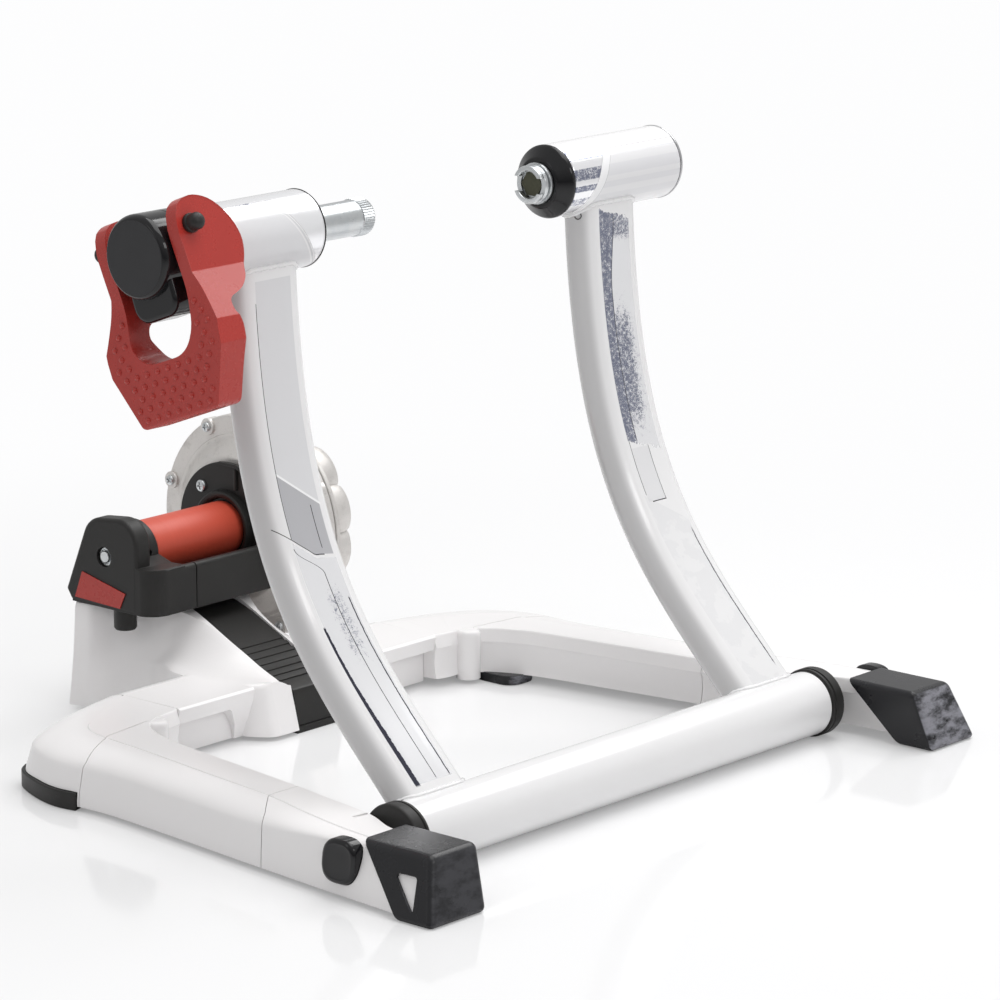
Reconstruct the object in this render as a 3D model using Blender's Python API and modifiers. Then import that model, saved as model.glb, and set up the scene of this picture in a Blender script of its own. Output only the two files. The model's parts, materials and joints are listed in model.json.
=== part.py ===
"""Fluid bike trainer: a folding A-frame with axle clamps, on a plastic base that
carries a roller driving a sealed fluid brake.

Units are metres and +Z is up. The clamp lever is on the -X side and the roller is
at +Y. Names that start with left are on -X and names that start with right on +X.
Lengths along Y are measured from the pivot tube, heights from the floor.
"""
import math

import bmesh
import bpy
from mathutils import Vector

# Fits between neighbouring pieces
GAP = 0.0003
MERGE = 0.00005

# Pivot tube, its bushings and bolts
PIVOT_Z = 0.0232
TUBE_RADIUS = 0.022
TUBE_WALL = 0.0025
TUBE_HALF = 0.2024
BUSHING_WIDTH = 0.0128
BUSHING_FLANGE_RADIUS = 0.0226
BUSHING_SPIGOT = 0.024
BUSHING_ROOM = 0.0012
BOLT_RADIUS = 0.005
BOLT_TAIL = 0.012
BOLT_HEAD_RADIUS = 0.008
BOLT_HEAD_HEIGHT = 0.006
LEG_INNER_X = TUBE_HALF + BUSHING_WIDTH + GAP

# Uprights: a flat oval tube swept along a bend
UPRIGHT_INSET = 0.0364
UPRIGHT_X = TUBE_HALF - UPRIGHT_INSET
UPRIGHT_FLAT_HALF = 0.0165
UPRIGHT_ROUND = 0.0127
UPRIGHT_BACKSET = 0.0063
UPRIGHT_TOP_PULL = 0.2237
UPRIGHT_BEND_Y = 0.0851
UPRIGHT_BEND_RISE = 0.0905
UPRIGHT_STEPS = 14

# Axle line and the housings on it
AXLE_Y = 0.1633
AXLE_Z = 0.3745
HOUSING_RADIUS = 0.025
HOUSING_INWARD = 0.0445
LEFT_HOUSING_OUTWARD = 0.0677
RIGHT_HOUSING_OUTWARD = 0.0662
HOUSING_INNER_X = UPRIGHT_X - HOUSING_INWARD
LEFT_HOUSING_OUTER_X = UPRIGHT_X + LEFT_HOUSING_OUTWARD
RIGHT_HOUSING_OUTER_X = UPRIGHT_X + RIGHT_HOUSING_OUTWARD
HOUSING_WALL = 0.003
HOUSING_END_WALL = 0.008
TRIM_WIDTH = 0.0016
CAP_WIDTH = 0.0024

# Clamp head, turned about the axle line with its lever
HEAD_TILT = math.radians(20.56)
HEAD_RADIUS = 0.0267
HEAD_LENGTH = 0.0329
HEAD_OUTER_X = LEFT_HOUSING_OUTER_X + HEAD_LENGTH
HEAD_BORE = 0.0215
HEAD_END_WALL = 0.0033
LUG_HALF_WIDTH = 0.020
LUG_DROP = 0.041
LUG_WIDTH = 0.021

# Lever pin, cam and knobs
PIN_INSET = 0.0166
PIN_X = HEAD_OUTER_X - PIN_INSET
PIN_RISE = 0.0105
PIN_RADIUS = 0.0025
KNOB_RADIUS = 0.006
KNOB_LENGTH = 0.010
CAM_RADIUS = 0.0075
CAM_OFFSET = 0.0035
CAM_WIDTH = 0.016
CAM_ANGLE = math.radians(45.0)

# Lever: outline seen from outside, heights below the axle line, then its depth
LEVER_ARM_HALF = 0.038
LEVER_WINDOW_HALF = 0.0287
LEVER_SHOULDER_HALF = 0.0518
LEVER_TOE_HALF = 0.0345
LEVER_TOP = 0.028
LEVER_FLARE_DROP = 0.019
LEVER_SHOULDER_DROP = 0.051
LEVER_SIDE_DROP = 0.066
LEVER_TOE_DROP = 0.101
LEVER_WINDOW_DROP = 0.0655
LEVER_WINDOW_CORNER = 0.020
LEVER_SETBACK = 0.0011
LEVER_DEPTH = 0.0545
LEVER_FACE_X = HEAD_OUTER_X - LEVER_SETBACK
LEVER_BACK_X = LEVER_FACE_X - LEVER_DEPTH
LEVER_PAD_DEPTH = 0.0245
LEVER_WEB = 0.004

# Plunger and its spring
PLUNGER_RADIUS = 0.0118
PLUNGER_TIP_X = 0.0620
PLUNGER_CUP_DEPTH = 0.011
PLUNGER_CUP_RADIUS = 0.0125
PLUNGER_SOCKET = 0.0085
SPRING_ROOM = 0.0545
COLLAR_X = HOUSING_INNER_X + SPRING_ROOM
COLLAR_WIDTH = 0.004
COLLAR_RADIUS = 0.0185
SPRING_WIRE = 0.0012
SPRING_RADIUS = 0.0150
SPRING_TURNS = 7
SPRING_POINTS = 10

# Adjustable cup on the other side
RING_RADIUS = 0.025
RING_WIDTH = 0.0105
RING_RIM = 0.002
RING_NOSE_RADIUS = 0.0165
RING_INNER_X = HOUSING_INNER_X - RING_WIDTH
RING_PLAY = 0.0015
SCREW_RADIUS = 0.010
SCREW_BORE = 0.007
SCREW_GRIP = 0.0635
SCREW_END_X = HOUSING_INNER_X + SCREW_GRIP
CUP_COLLAR_RADIUS = 0.0141
CUP_COLLAR_WIDTH = 0.003
CUP_RADIUS = 0.0131
CUP_REACH = 0.011
CUP_FACE_X = RING_INNER_X - CUP_REACH
CUP_SOCKET = 0.0092
CUP_SOCKET_DEPTH = 0.006
CUP_HOLE = 0.0035
CUP_NOTCH = 0.010
CUP_NOTCH_DEPTH = 0.004

# Base legs: plan positions of the outer foot, the flat top and the inner edge
LEG_BOTTOM = 0.003
LEG_INNER_BOTTOM = 0.0065
LEG_TOP = 0.0385
LEG_WALL_TOP = 0.026
LEG_FRONT_WALL_TOP = 0.033
LEG_CREASE = 0.029
LEG_CREASE_DEPTH = 0.0025
FRONT_SEAM_Y = 0.090
FRONT_SEAM_SIDE_Y = 0.064
REAR_SEAM_Y = 0.2615
REAR_SEAM_SIDE_Y = 0.243
SHOULDER_OUTWARD = 0.0145
REAR_SHOULDER_INWARD = 0.0078
BRIDGE_INSET = 0.0885
SHOULDER_X = LEG_INNER_X + SHOULDER_OUTWARD
REAR_SHOULDER_X = LEG_INNER_X - REAR_SHOULDER_INWARD
BRIDGE_HALF = LEG_INNER_X - BRIDGE_INSET
BRIDGE_REAR_Y = 0.347
BRIDGE_OVERLAP = 0.007
RAIL_LIMIT = LEG_INNER_X + 0.0845

# Boots on the front feet
BOOT_FRONT_Y = 0.0893
BOOT_TOP_FRONT_Y = 0.0762
BOOT_TOP_BACK_Y = 0.0205
BOOT_BOTTOM_BACK_Y = 0.061
BOOT_INNER_X = LEG_INNER_X + 0.0100
BOOT_OUTER_X = LEG_INNER_X + 0.0615
BOOT_TOP_INNER_X = LEG_INNER_X + 0.0045
BOOT_TOP_OUTER_X = LEG_INNER_X + 0.0465
BOOT_TOP_Z = 0.0405
BOOT_WALL = 0.0035
BOOT_SOLE = 0.006
NOSE_REACH = 0.012

# Side plug over each pivot bolt
PLUG_RADIUS = 0.0145
PLUG_Y = 0.0075
PLUG_Z = 0.0250
PLUG_FACE_X = LEG_INNER_X + 0.0560
PLUG_DEPTH = 0.0095
PLUG_STRETCH = 1.06

# Corner strips and pads under the rear corners
STRIP_HEIGHT = 0.012
STRIP_WIDTH = 0.009
PAD_X = LEG_INNER_X - 0.0375
PAD_Y = 0.252
PAD_LENGTH = 0.040
PAD_WIDTH = 0.030
PAD_HEIGHT = 0.0085
PAD_CORNER = 0.012

# Hump in the middle of the bridge and the ramp set into it
HUMP_FRONT_Y = 0.264
HUMP_HALF = 0.067
HUMP_REAR_Y = 0.428
HUMP_REAR_HALF = 0.075
HUMP_WAIST_HALF = 0.060
HUMP_WAIST_TOP = 0.044
HUMP_TOP = 0.0757
HUMP_BLOCK_TOP = 0.038
RAMP_HALF = 0.022
RAMP_FOOT_Y = 0.257
RAMP_NOSE_Z = 0.031
RAMP_END_Y = 0.372
RAMP_END_Z = 0.0705
RAMP_THICKNESS = 0.007
SLOPE_FOOT_Z = 0.036

# Roller and its shaft
ROLLER_Y = 0.3965
ROLLER_Z = 0.1123
ROLLER_RADIUS = 0.0191
ROLLER_SKIN = 0.0035
ROLLER_LEFT_X = -0.0405
ROLLER_RIGHT_X = 0.0438
SHAFT_RADIUS = 0.006
SHAFT_LEFT_X = -0.0655
SHAFT_RIGHT_X = 0.0985
BEARING_RADIUS = 0.013
BEARING_WIDTH = 0.009

# Roller unit casings
BRACKET_LEFT_X = -0.0745
BRACKET_SEAM_X = -0.032
BRACKET_FRONT_Y = 0.349
BRACKET_REAR_Y = 0.430
BRACKET_TOP_Z = 0.109
BRACKET_FLOOR = 0.006
BRACKET_WALL = 0.006
CHEEK_X = -0.0425
DOME_INNER_X = -0.060
DOME_FRONT_Y = 0.3645
SHROUD_RADIUS = 0.0222
CORNER_RADIUS = 0.0155
DIP_RADIUS = 0.0025
DIP_DEPTH = 0.003
DIP_X = -0.0515
DIP_ANGLES = (27.0, 83.0)
BRACKET_PLATE_X = 0.050
PLATE_RADIUS = 0.046
PLATE_THICKNESS = 0.005
BOLT_RECESS = 0.0068
AXLE_BOLT_RADIUS = 0.0037
PEG_RADIUS = 0.008
PEG_Y = 0.385
PEG_X = -0.066
PEG_BOTTOM_Z = 0.062
MOUNT_BOLT_RADIUS = 0.0025
MOUNT_BOLT_X = 0.0372
MOUNT_BOLT_Y = 0.4145
MOUNT_BOLT_END_Z = 0.045

# Fluid brake
FLANGE_RADIUS = 0.080
FLANGE_X = 0.062
FLANGE_THICKNESS = 0.010
FLANGE_HUB_RADIUS = FLANGE_RADIUS - 0.028
BRAKE_CLEARANCE = 0.002
BRAKE_SETBACK = 0.0015
BRAKE_SAG = 0.0023
BRAKE_Y = ROLLER_Y - BRAKE_SETBACK
BRAKE_Z = ROLLER_Z - BRAKE_SAG
COVER_RADIUS = FLANGE_RADIUS - 0.0075
COVER_X = 0.105
COVER_WALL = 0.004
COVER_LOBES = 12
COVER_LOBE_DEPTH = 0.0045
IMPELLER_RADIUS = COVER_RADIUS - 0.0145
IMPELLER_BLADES = 8
FLANGE_SCREWS = 3
FLANGE_SCREW_STEP = math.radians(45.0)
FLANGE_SCREW_START = math.radians(17.5)
FLANGE_SCREW_CIRCLE = FLANGE_RADIUS - 0.0045
SCREW_HEAD_RADIUS = 0.0035

# Facets round a full turn on large and small round pieces
FINE = 32
PLAIN = 20

# Local axes of a flat outline: its thickness runs along X, Y or Z
FACING_X = (math.pi / 2, 0.0, math.pi / 2)
FACING_Y = (math.pi / 2, 0.0, 0.0)
FACING_Z = (0.0, 0.0, 0.0)
ALONG_X = (0.0, math.pi / 2, 0.0)

SIDES = (("left", -1), ("right", 1))
PARTS = "fluid_bike_trainer"
CUTTERS = "cutters"

# Sizes that follow from the ones above
BASE_FRONT = -BOOT_FRONT_Y
BASE_REAR = BRAKE_Y + FLANGE_RADIUS
PIVOT_Y = -(BASE_FRONT + BASE_REAR) / 2
CAM_REACH = CAM_OFFSET * math.cos(CAM_ANGLE) + CAM_RADIUS
PLUNGER_BACK_X = PIN_X - CAM_REACH - GAP
RING_OUTER_X = HOUSING_INNER_X - GAP
SPRING_START_X = HOUSING_INNER_X + HOUSING_END_WALL + SPRING_WIRE + GAP
SPRING_END_X = COLLAR_X - SPRING_WIRE - GAP
RAMP_ANGLE = math.atan2(RAMP_END_Z - SLOPE_FOOT_Z, RAMP_END_Y - RAMP_FOOT_Y)


def clear_scene():
    """Remove every object and the collections that this script makes."""
    for obj in list(bpy.data.objects):
        bpy.data.objects.remove(obj, do_unlink=True)
    for name in (PARTS, CUTTERS):
        if name in bpy.data.collections:
            bpy.data.collections.remove(bpy.data.collections[name])


def make_collections():
    for name in (PARTS, CUTTERS):
        collection = bpy.data.collections.new(name)
        bpy.context.scene.collection.children.link(collection)
    bpy.data.collections[CUTTERS].hide_render = True


def material(name, colour, roughness, metallic=0.0):
    """Give the material of that name, made the first time it is asked for."""
    if name in bpy.data.materials:
        return bpy.data.materials[name]
    mat = bpy.data.materials.new(name)
    mat.use_nodes = True
    shader = mat.node_tree.nodes["Principled BSDF"]
    shader.inputs["Base Color"].default_value = (*colour, 1.0)
    shader.inputs["Roughness"].default_value = roughness
    shader.inputs["Metallic"].default_value = metallic
    mat.diffuse_color = (*colour, 1.0)
    return mat


def white_plastic():
    return material("white_plastic", (0.80, 0.77, 0.77), 0.28)


def white_paint():
    return material("white_paint", (0.82, 0.81, 0.82), 0.22)


def black_plastic():
    return material("black_plastic", (0.028, 0.026, 0.025), 0.55)


def gloss_black():
    return material("gloss_black", (0.012, 0.012, 0.013), 0.12)


def black_enamel():
    return material("black_enamel", (0.012, 0.012, 0.013), 0.12)


def soft_black():
    return material("soft_black", (0.045, 0.045, 0.048), 0.70)


def red_paint():
    return material("red_paint", (0.43, 0.055, 0.045), 0.30)


def roller_red():
    return material("roller_red", (0.60, 0.09, 0.06), 0.45)


def zinc_steel():
    return material("zinc_steel", (0.62, 0.62, 0.60), 0.32, 1.0)


def cast_metal():
    return material("cast_metal", (0.50, 0.47, 0.44), 0.48, 0.8)


def bare_steel():
    return material("bare_steel", (0.55, 0.55, 0.56), 0.30, 1.0)


def make_empty(name, parent, at, turn=(0.0, 0.0, 0.0)):
    """An axis or corner that pieces hang from."""
    obj = bpy.data.objects.new(name, None)
    bpy.data.collections[PARTS].objects.link(obj)
    obj.empty_display_size = 0.02
    obj.parent = parent
    obj.location = at
    obj.rotation_euler = turn
    return obj


def add(name, data, parent, at, turn, mat):
    """Link a mesh or curve. Without a material it is a cutter."""
    obj = bpy.data.objects.new(name, data)
    home = CUTTERS if mat is None else PARTS
    bpy.data.collections[home].objects.link(obj)
    obj.parent = parent
    obj.location = at
    obj.rotation_euler = turn
    if mat is None:
        obj.hide_render = True
        obj.display_type = "WIRE"
    else:
        data.materials.append(mat)
    return obj


def smooth(obj, angle=35.0):
    """Shade the curved faces smooth and keep the real edges sharp."""
    obj.data.shade_smooth()
    obj.data.set_sharp_from_angle(angle=math.radians(angle))


def fillet(corners, steps=5):
    """Closed outline with the third value of each corner as its radius."""
    points = []
    count = len(corners)
    for index, (x, y, radius) in enumerate(corners):
        here = Vector((x, y))
        if radius <= 0.0:
            points.append(here)
            continue
        before = Vector(corners[index - 1][:2]) - here
        after = Vector(corners[(index + 1) % count][:2]) - here
        half = before.angle(after) / 2
        reach = min(radius / math.tan(half), 0.49 * before.length, 0.49 * after.length)
        inset = reach * math.tan(half)
        centre = here + (before.normalized() + after.normalized()).normalized() * inset / math.sin(half)
        start = here + before.normalized() * reach - centre
        end = here + after.normalized() * reach - centre
        sweep = start.angle_signed(end)
        for step in range(steps + 1):
            turn = -sweep * step / steps
            cosine, sine = math.cos(turn), math.sin(turn)
            points.append(centre + Vector((start.x * cosine - start.y * sine,
                                           start.x * sine + start.y * cosine)))
    return points


def circle(radius, facets, centre=(0.0, 0.0)):
    """Closed round outline."""
    turns = [2 * math.pi * (index + 0.5) / facets for index in range(facets)]
    return [Vector((centre[0] + radius * math.cos(turn), centre[1] + radius * math.sin(turn)))
            for turn in turns]


def curve_to_mesh(obj):
    """Swap a curve object for a welded mesh that takes modifiers and cuts."""
    bpy.context.view_layer.update()
    depsgraph = bpy.context.evaluated_depsgraph_get()
    mesh = bpy.data.meshes.new_from_object(obj.evaluated_get(depsgraph), depsgraph=depsgraph)
    bm = bmesh.new()
    bm.from_mesh(mesh)
    bmesh.ops.remove_doubles(bm, verts=bm.verts, dist=0.000002)
    bmesh.ops.recalc_face_normals(bm, faces=bm.faces)
    bm.to_mesh(mesh)
    bm.free()
    name = obj.name
    home = obj.users_collection[0]
    parent = obj.parent
    place, turn = obj.location.copy(), obj.rotation_euler.copy()
    bpy.data.objects.remove(obj, do_unlink=True)
    solid = bpy.data.objects.new(name, mesh)
    home.objects.link(solid)
    solid.parent = parent
    solid.location = place
    solid.rotation_euler = turn
    if home.name == CUTTERS:
        solid.hide_render = True
        solid.display_type = "WIRE"
    return solid


def flat(name, outlines, thickness, parent, at, turn, mat=None):
    """Extrude closed outlines by a thickness, centred on the object's plane."""
    curve = bpy.data.curves.new(name, "CURVE")
    curve.dimensions = "2D"
    curve.fill_mode = "BOTH"
    curve.extrude = thickness / 2
    for outline in outlines:
        spline = curve.splines.new("POLY")
        spline.points.add(len(outline) - 1)
        for point, corner in zip(spline.points, outline):
            point.co = (corner[0], corner[1], 0.0, 1.0)
        spline.use_cyclic_u = True
    return curve_to_mesh(add(name, curve, parent, at, turn, mat))


def turned(name, profile, parent, at, turn=ALONG_X, mat=None, facets=PLAIN):
    """Turn (radius, height) points about the local Z axis.

    The points start on top, run down the outer side and come back up a bore, or end
    on the axis. With ALONG_X the height runs along +X.
    """
    mesh = bpy.data.meshes.new(name)
    bm = bmesh.new()
    verts = [bm.verts.new((radius, 0.0, height)) for radius, height in profile]
    for first, second in zip(verts, verts[1:]):
        bm.edges.new((first, second))
    if profile[0][0] > 0.0:
        bm.edges.new((verts[-1], verts[0]))
    bm.to_mesh(mesh)
    bm.free()
    obj = add(name, mesh, parent, at, turn, mat)
    screw = obj.modifiers.new("Turn", "SCREW")
    screw.steps = facets
    screw.render_steps = facets
    screw.use_merge_vertices = True
    screw.merge_threshold = MERGE
    screw.use_smooth_shade = False
    return obj


def rod(name, radius, start, end, parent, at=(0.0, 0.0, 0.0), turn=ALONG_X, mat=None, facets=PLAIN):
    """A round bar between two distances along its own axis."""
    profile = [(0.0, end), (radius, end), (radius, start), (0.0, start)]
    return turned(name, profile, parent, at, turn, mat, facets)


def sleeve(name, outer, inner, start, end, parent, at=(0.0, 0.0, 0.0), turn=ALONG_X, mat=None,
           facets=PLAIN):
    """A round tube between two distances along its own axis."""
    profile = [(outer, end), (outer, start), (inner, start), (inner, end)]
    return turned(name, profile, parent, at, turn, mat, facets)


def block(name, corner, parent, at=(0.0, 0.0, 0.0), turn=(0.0, 0.0, 0.0), mat=None):
    """A cube whose eight corners go where corner(sx, sy, sz) puts them."""
    mesh = bpy.data.meshes.new(name)
    bm = bmesh.new()
    bmesh.ops.create_cube(bm, size=2.0)
    for vert in bm.verts:
        vert.co = corner(*(round(value) for value in vert.co))
    bmesh.ops.recalc_face_normals(bm, faces=bm.faces)
    bm.to_mesh(mesh)
    bm.free()
    return add(name, mesh, parent, at, turn, mat)


def box(name, size, parent, at, turn=(0.0, 0.0, 0.0), mat=None):
    """A plain box centred on its place."""
    half = Vector(size) / 2
    return block(name, lambda sx, sy, sz: (sx * half.x, sy * half.y, sz * half.z),
                 parent, at, turn, mat)


def loft(name, rings, parent, at=(0.0, 0.0, 0.0), turn=(0.0, 0.0, 0.0), mat=None):
    """Skin closed rings of equal count and cap both ends."""
    mesh = bpy.data.meshes.new(name)
    bm = bmesh.new()
    rows = [[bm.verts.new(point) for point in ring] for ring in rings]
    count = len(rows[0])
    for low, high in zip(rows, rows[1:]):
        for index in range(count):
            after = (index + 1) % count
            bm.faces.new((low[index], low[after], high[after], high[index]))
    bm.faces.new(list(reversed(rows[0])))
    bm.faces.new(rows[-1])
    bmesh.ops.recalc_face_normals(bm, faces=bm.faces)
    bm.to_mesh(mesh)
    bm.free()
    return add(name, mesh, parent, at, turn, mat)


def boolean(obj, other, operation):
    modifier = obj.modifiers.new(operation.title(), "BOOLEAN")
    modifier.operation = operation
    modifier.solver = "EXACT"
    modifier.object = other


def cut(obj, *cutters):
    for cutter in cutters:
        boolean(obj, cutter, "DIFFERENCE")


def join(obj, *others):
    for other in others:
        boolean(obj, other, "UNION")


def keep_inside(obj, limit):
    boolean(obj, limit, "INTERSECT")


def mirrored(side, points):
    """Outline in plan, flipped to the -X side where side is -1."""
    flipped = [(side * point[0], *point[1:]) for point in points]
    return flipped if side > 0 else list(reversed(flipped))


# Pivot tube and uprights


def pivot_tube(fold):
    sleeve("cross_tube", TUBE_RADIUS, TUBE_RADIUS - TUBE_WALL, -TUBE_HALF, TUBE_HALF, fold,
           mat=white_paint(), facets=FINE)


def bend_point(t):
    """Centre line of an upright from the axle line (t = 0) to the pivot tube (t = 1)."""
    rise = AXLE_Z - PIVOT_Z
    y = AXLE_Y - UPRIGHT_BACKSET
    corners = [Vector((y, rise)), Vector((y - UPRIGHT_BACKSET, rise - UPRIGHT_TOP_PULL)),
               Vector((UPRIGHT_BEND_Y, UPRIGHT_BEND_RISE)), Vector((0.0, 0.0))]
    weights = ((1 - t) ** 3, 3 * t * (1 - t) ** 2, 3 * t * t * (1 - t), t ** 3)
    return sum((corner * weight for corner, weight in zip(corners, weights)), Vector((0.0, 0.0)))


def oval_ring(centre, across):
    """Flat oval: half turns at +X and -X joined by flats, square to the centre line."""
    ring = []
    steps = 6
    for side in (1, -1):
        for step in range(steps + 1):
            turn = side * math.pi / 2 - math.pi * step / steps
            x = side * UPRIGHT_FLAT_HALF + UPRIGHT_ROUND * math.cos(turn)
            offset = UPRIGHT_ROUND * math.sin(turn)
            ring.append((x, centre.x + across.x * offset, centre.y + across.y * offset))
    return ring


def upright(name, side, fold):
    rings = []
    for step in range(UPRIGHT_STEPS + 1):
        t = step / UPRIGHT_STEPS
        centre = bend_point(t)
        along = (bend_point(t + 0.001) - bend_point(t - 0.001)).normalized()
        rings.append(oval_ring(centre, Vector((-along.y, along.x))))
    obj = loft(name, rings, fold, at=(side * UPRIGHT_X, 0.0, 0.0), mat=white_paint())
    top = rod(name + "_top_cut", HOUSING_RADIUS + GAP, -HOUSING_INNER_X, HOUSING_INNER_X, fold,
              (side * UPRIGHT_X, AXLE_Y, AXLE_Z - PIVOT_Z), facets=FINE)
    foot = rod(name + "_foot_cut", TUBE_RADIUS + GAP, -TUBE_HALF, TUBE_HALF, fold,
               (side * UPRIGHT_X, 0.0, 0.0), facets=FINE)
    cut(obj, top, foot)
    smooth(obj)


# Left housing, clamp head and lever


def left_housing(axle):
    wall = HOUSING_INNER_X + HOUSING_END_WALL
    bore = HOUSING_RADIUS - HOUSING_WALL
    groove = HOUSING_RADIUS - TRIM_WIDTH
    trim = -HOUSING_INNER_X - TRIM_WIDTH - GAP
    way = PLUNGER_RADIUS + GAP
    profile = [
        (way, -HOUSING_INNER_X), (groove, -HOUSING_INNER_X), (groove, trim),
        (HOUSING_RADIUS, trim), (HOUSING_RADIUS, -LEFT_HOUSING_OUTER_X),
        (bore, -LEFT_HOUSING_OUTER_X), (bore, -wall), (way, -wall)]
    turned("left_axle_housing", profile, axle, (0.0, 0.0, 0.0), mat=white_paint(), facets=FINE)
    sleeve("left_inner_trim_ring", HOUSING_RADIUS + 0.0002, groove + GAP,
           -HOUSING_INNER_X - TRIM_WIDTH, -HOUSING_INNER_X, axle, mat=gloss_black(), facets=FINE)


def clamp_head(head):
    inner = -LEFT_HOUSING_OUTER_X - GAP
    face = -HEAD_OUTER_X
    edge = 0.0015
    profile = [
        (0.0, face + HEAD_END_WALL), (HEAD_BORE, face + HEAD_END_WALL), (HEAD_BORE, inner),
        (HEAD_RADIUS, inner), (HEAD_RADIUS, face + 2 * edge),
        (HEAD_RADIUS - edge, face + edge / 3), (HEAD_RADIUS - 3 * edge, face), (0.0, face)]
    obj = turned("clamp_head", profile, head, (0.0, 0.0, 0.0), mat=gloss_black(), facets=FINE)
    lug_x = -(LEFT_HOUSING_OUTER_X + GAP + LUG_WIDTH / 2)
    inside = HEAD_BORE + 0.002
    corners = [(-LUG_HALF_WIDTH, -math.sqrt(inside ** 2 - LUG_HALF_WIDTH ** 2), 0.0),
               (-LUG_HALF_WIDTH, -LUG_DROP, 0.010), (LUG_HALF_WIDTH, -LUG_DROP, 0.010),
               (LUG_HALF_WIDTH, -math.sqrt(inside ** 2 - LUG_HALF_WIDTH ** 2), 0.0)]
    arc = [(inside * math.sin(math.radians(turn)), -inside * math.cos(math.radians(turn)), 0.0)
           for turn in (45, 25, 0, -25, -45)]
    lug = flat("clamp_lug", [fillet(corners + arc)], LUG_WIDTH, head, (lug_x, 0.0, 0.0), FACING_X)
    hole = rod("pin_hole", PIN_RADIUS + GAP, -2 * HEAD_RADIUS, 2 * HEAD_RADIUS, head,
               (-PIN_X, 0.0, PIN_RISE), (math.pi / 2, 0.0, 0.0))
    join(obj, lug)
    cut(obj, hole)


def lever_front_outline():
    """Lever seen from outside, as (across, height) about the axle line."""
    arm, shoulder, toe = LEVER_ARM_HALF, LEVER_SHOULDER_HALF, LEVER_TOE_HALF
    window, hollow = LEVER_WINDOW_HALF, LEVER_WINDOW_CORNER
    top = LEVER_TOP
    return fillet([
        (-arm, top, 0.003), (-arm, -LEVER_FLARE_DROP, 0.010),
        (-shoulder, -LEVER_SHOULDER_DROP, 0.006), (-shoulder + 0.001, -LEVER_SIDE_DROP, 0.006),
        (-toe, -LEVER_TOE_DROP, 0.004), (toe, -LEVER_TOE_DROP, 0.004),
        (shoulder - 0.001, -LEVER_SIDE_DROP, 0.006), (shoulder, -LEVER_SHOULDER_DROP, 0.006),
        (arm, -LEVER_FLARE_DROP, 0.010), (arm, top, 0.003), (window, top, 0.001),
        (window, -LEVER_WINDOW_DROP, hollow), (-window, -LEVER_WINDOW_DROP, hollow),
        (-window, top, 0.001)])


def lever_side_outline():
    """Lever seen from the side, as (x, height) about the axle line."""
    face, back = -LEVER_FACE_X, -LEVER_BACK_X
    pad = face + LEVER_PAD_DEPTH
    notch = pad + 0.0115
    return fillet([
        (face + 0.0005, 0.026, 0.009), (face + 0.0255, 0.0285, 0.012),
        (face + 0.0470, 0.013, 0.012),
        (back, -0.006, 0.012), (back - 0.004, -0.026, 0.006), (notch, -0.0365, 0.002),
        (notch, -0.041, 0.003), (pad, -0.0525, 0.003), (pad - 0.001, -LEVER_TOE_DROP - 0.001, 0.002),
        (face - 0.0005, -LEVER_TOE_DROP - 0.001, 0.002), (face + 0.0035, -LEVER_SHOULDER_DROP, 0.0)])


def lever(pin):
    """Cast lever: the front outline run through, kept inside the side outline."""
    depth = 0.080
    middle = (LEVER_FACE_X + LEVER_BACK_X) / 2
    place = (PIN_X, 0.0, -PIN_RISE)
    obj = flat("clamp_lever", [lever_front_outline()], depth, pin, (PIN_X - middle, 0.0, -PIN_RISE),
               FACING_X, red_paint())
    side = flat("lever_side", [lever_side_outline()], 0.130, pin, place, FACING_Y)
    keep_inside(obj, side)
    back = -LEVER_FACE_X + LEVER_PAD_DEPTH
    low, high = LEVER_TOE_DROP - LEVER_WEB, LEVER_WINDOW_DROP + LEVER_WEB

    def pocket_corner(sx, sy, sz):
        x = back + 0.010 if sx > 0 else -LEVER_FACE_X + LEVER_WEB + 0.001
        half = LEVER_SHOULDER_HALF - 2 * LEVER_WEB if sz > 0 else LEVER_TOE_HALF - LEVER_WEB
        return (x, sy * half, -high if sz > 0 else -low)

    pocket = block("lever_pocket", pocket_corner, pin, place)
    hole = rod("lever_pin_hole", PIN_RADIUS + GAP, -0.060, 0.060, pin,
               turn=(math.pi / 2, 0.0, 0.0))
    cut(obj, pocket, hole)


def lever_pin(pin):
    across = (math.pi / 2, 0.0, 0.0)
    reach = LEVER_ARM_HALF + GAP
    rod("lever_pin", PIN_RADIUS, -reach, reach, pin, turn=across, mat=zinc_steel())
    for name, end in (("near_pin_knob", 1), ("far_pin_knob", -1)):
        tip = reach + GAP + KNOB_LENGTH
        profile = [(0.0, tip), (KNOB_RADIUS * 0.45, tip), (KNOB_RADIUS * 0.6, tip - 0.003),
                   (KNOB_RADIUS, tip - 0.0045), (KNOB_RADIUS, reach + GAP), (0.0, reach + GAP)]
        turned(name, profile, pin, (0.0, 0.0, 0.0), (end * math.pi / 2, 0.0, 0.0), gloss_black(),
               16)
    centre = (CAM_OFFSET * math.cos(CAM_ANGLE), -CAM_OFFSET * math.sin(CAM_ANGLE))
    flat("lever_cam", [circle(CAM_RADIUS, PLAIN, centre), circle(PIN_RADIUS + GAP, 16)],
         CAM_WIDTH, pin, (0.0, 0.0, 0.0), FACING_Y, bare_steel())


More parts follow.
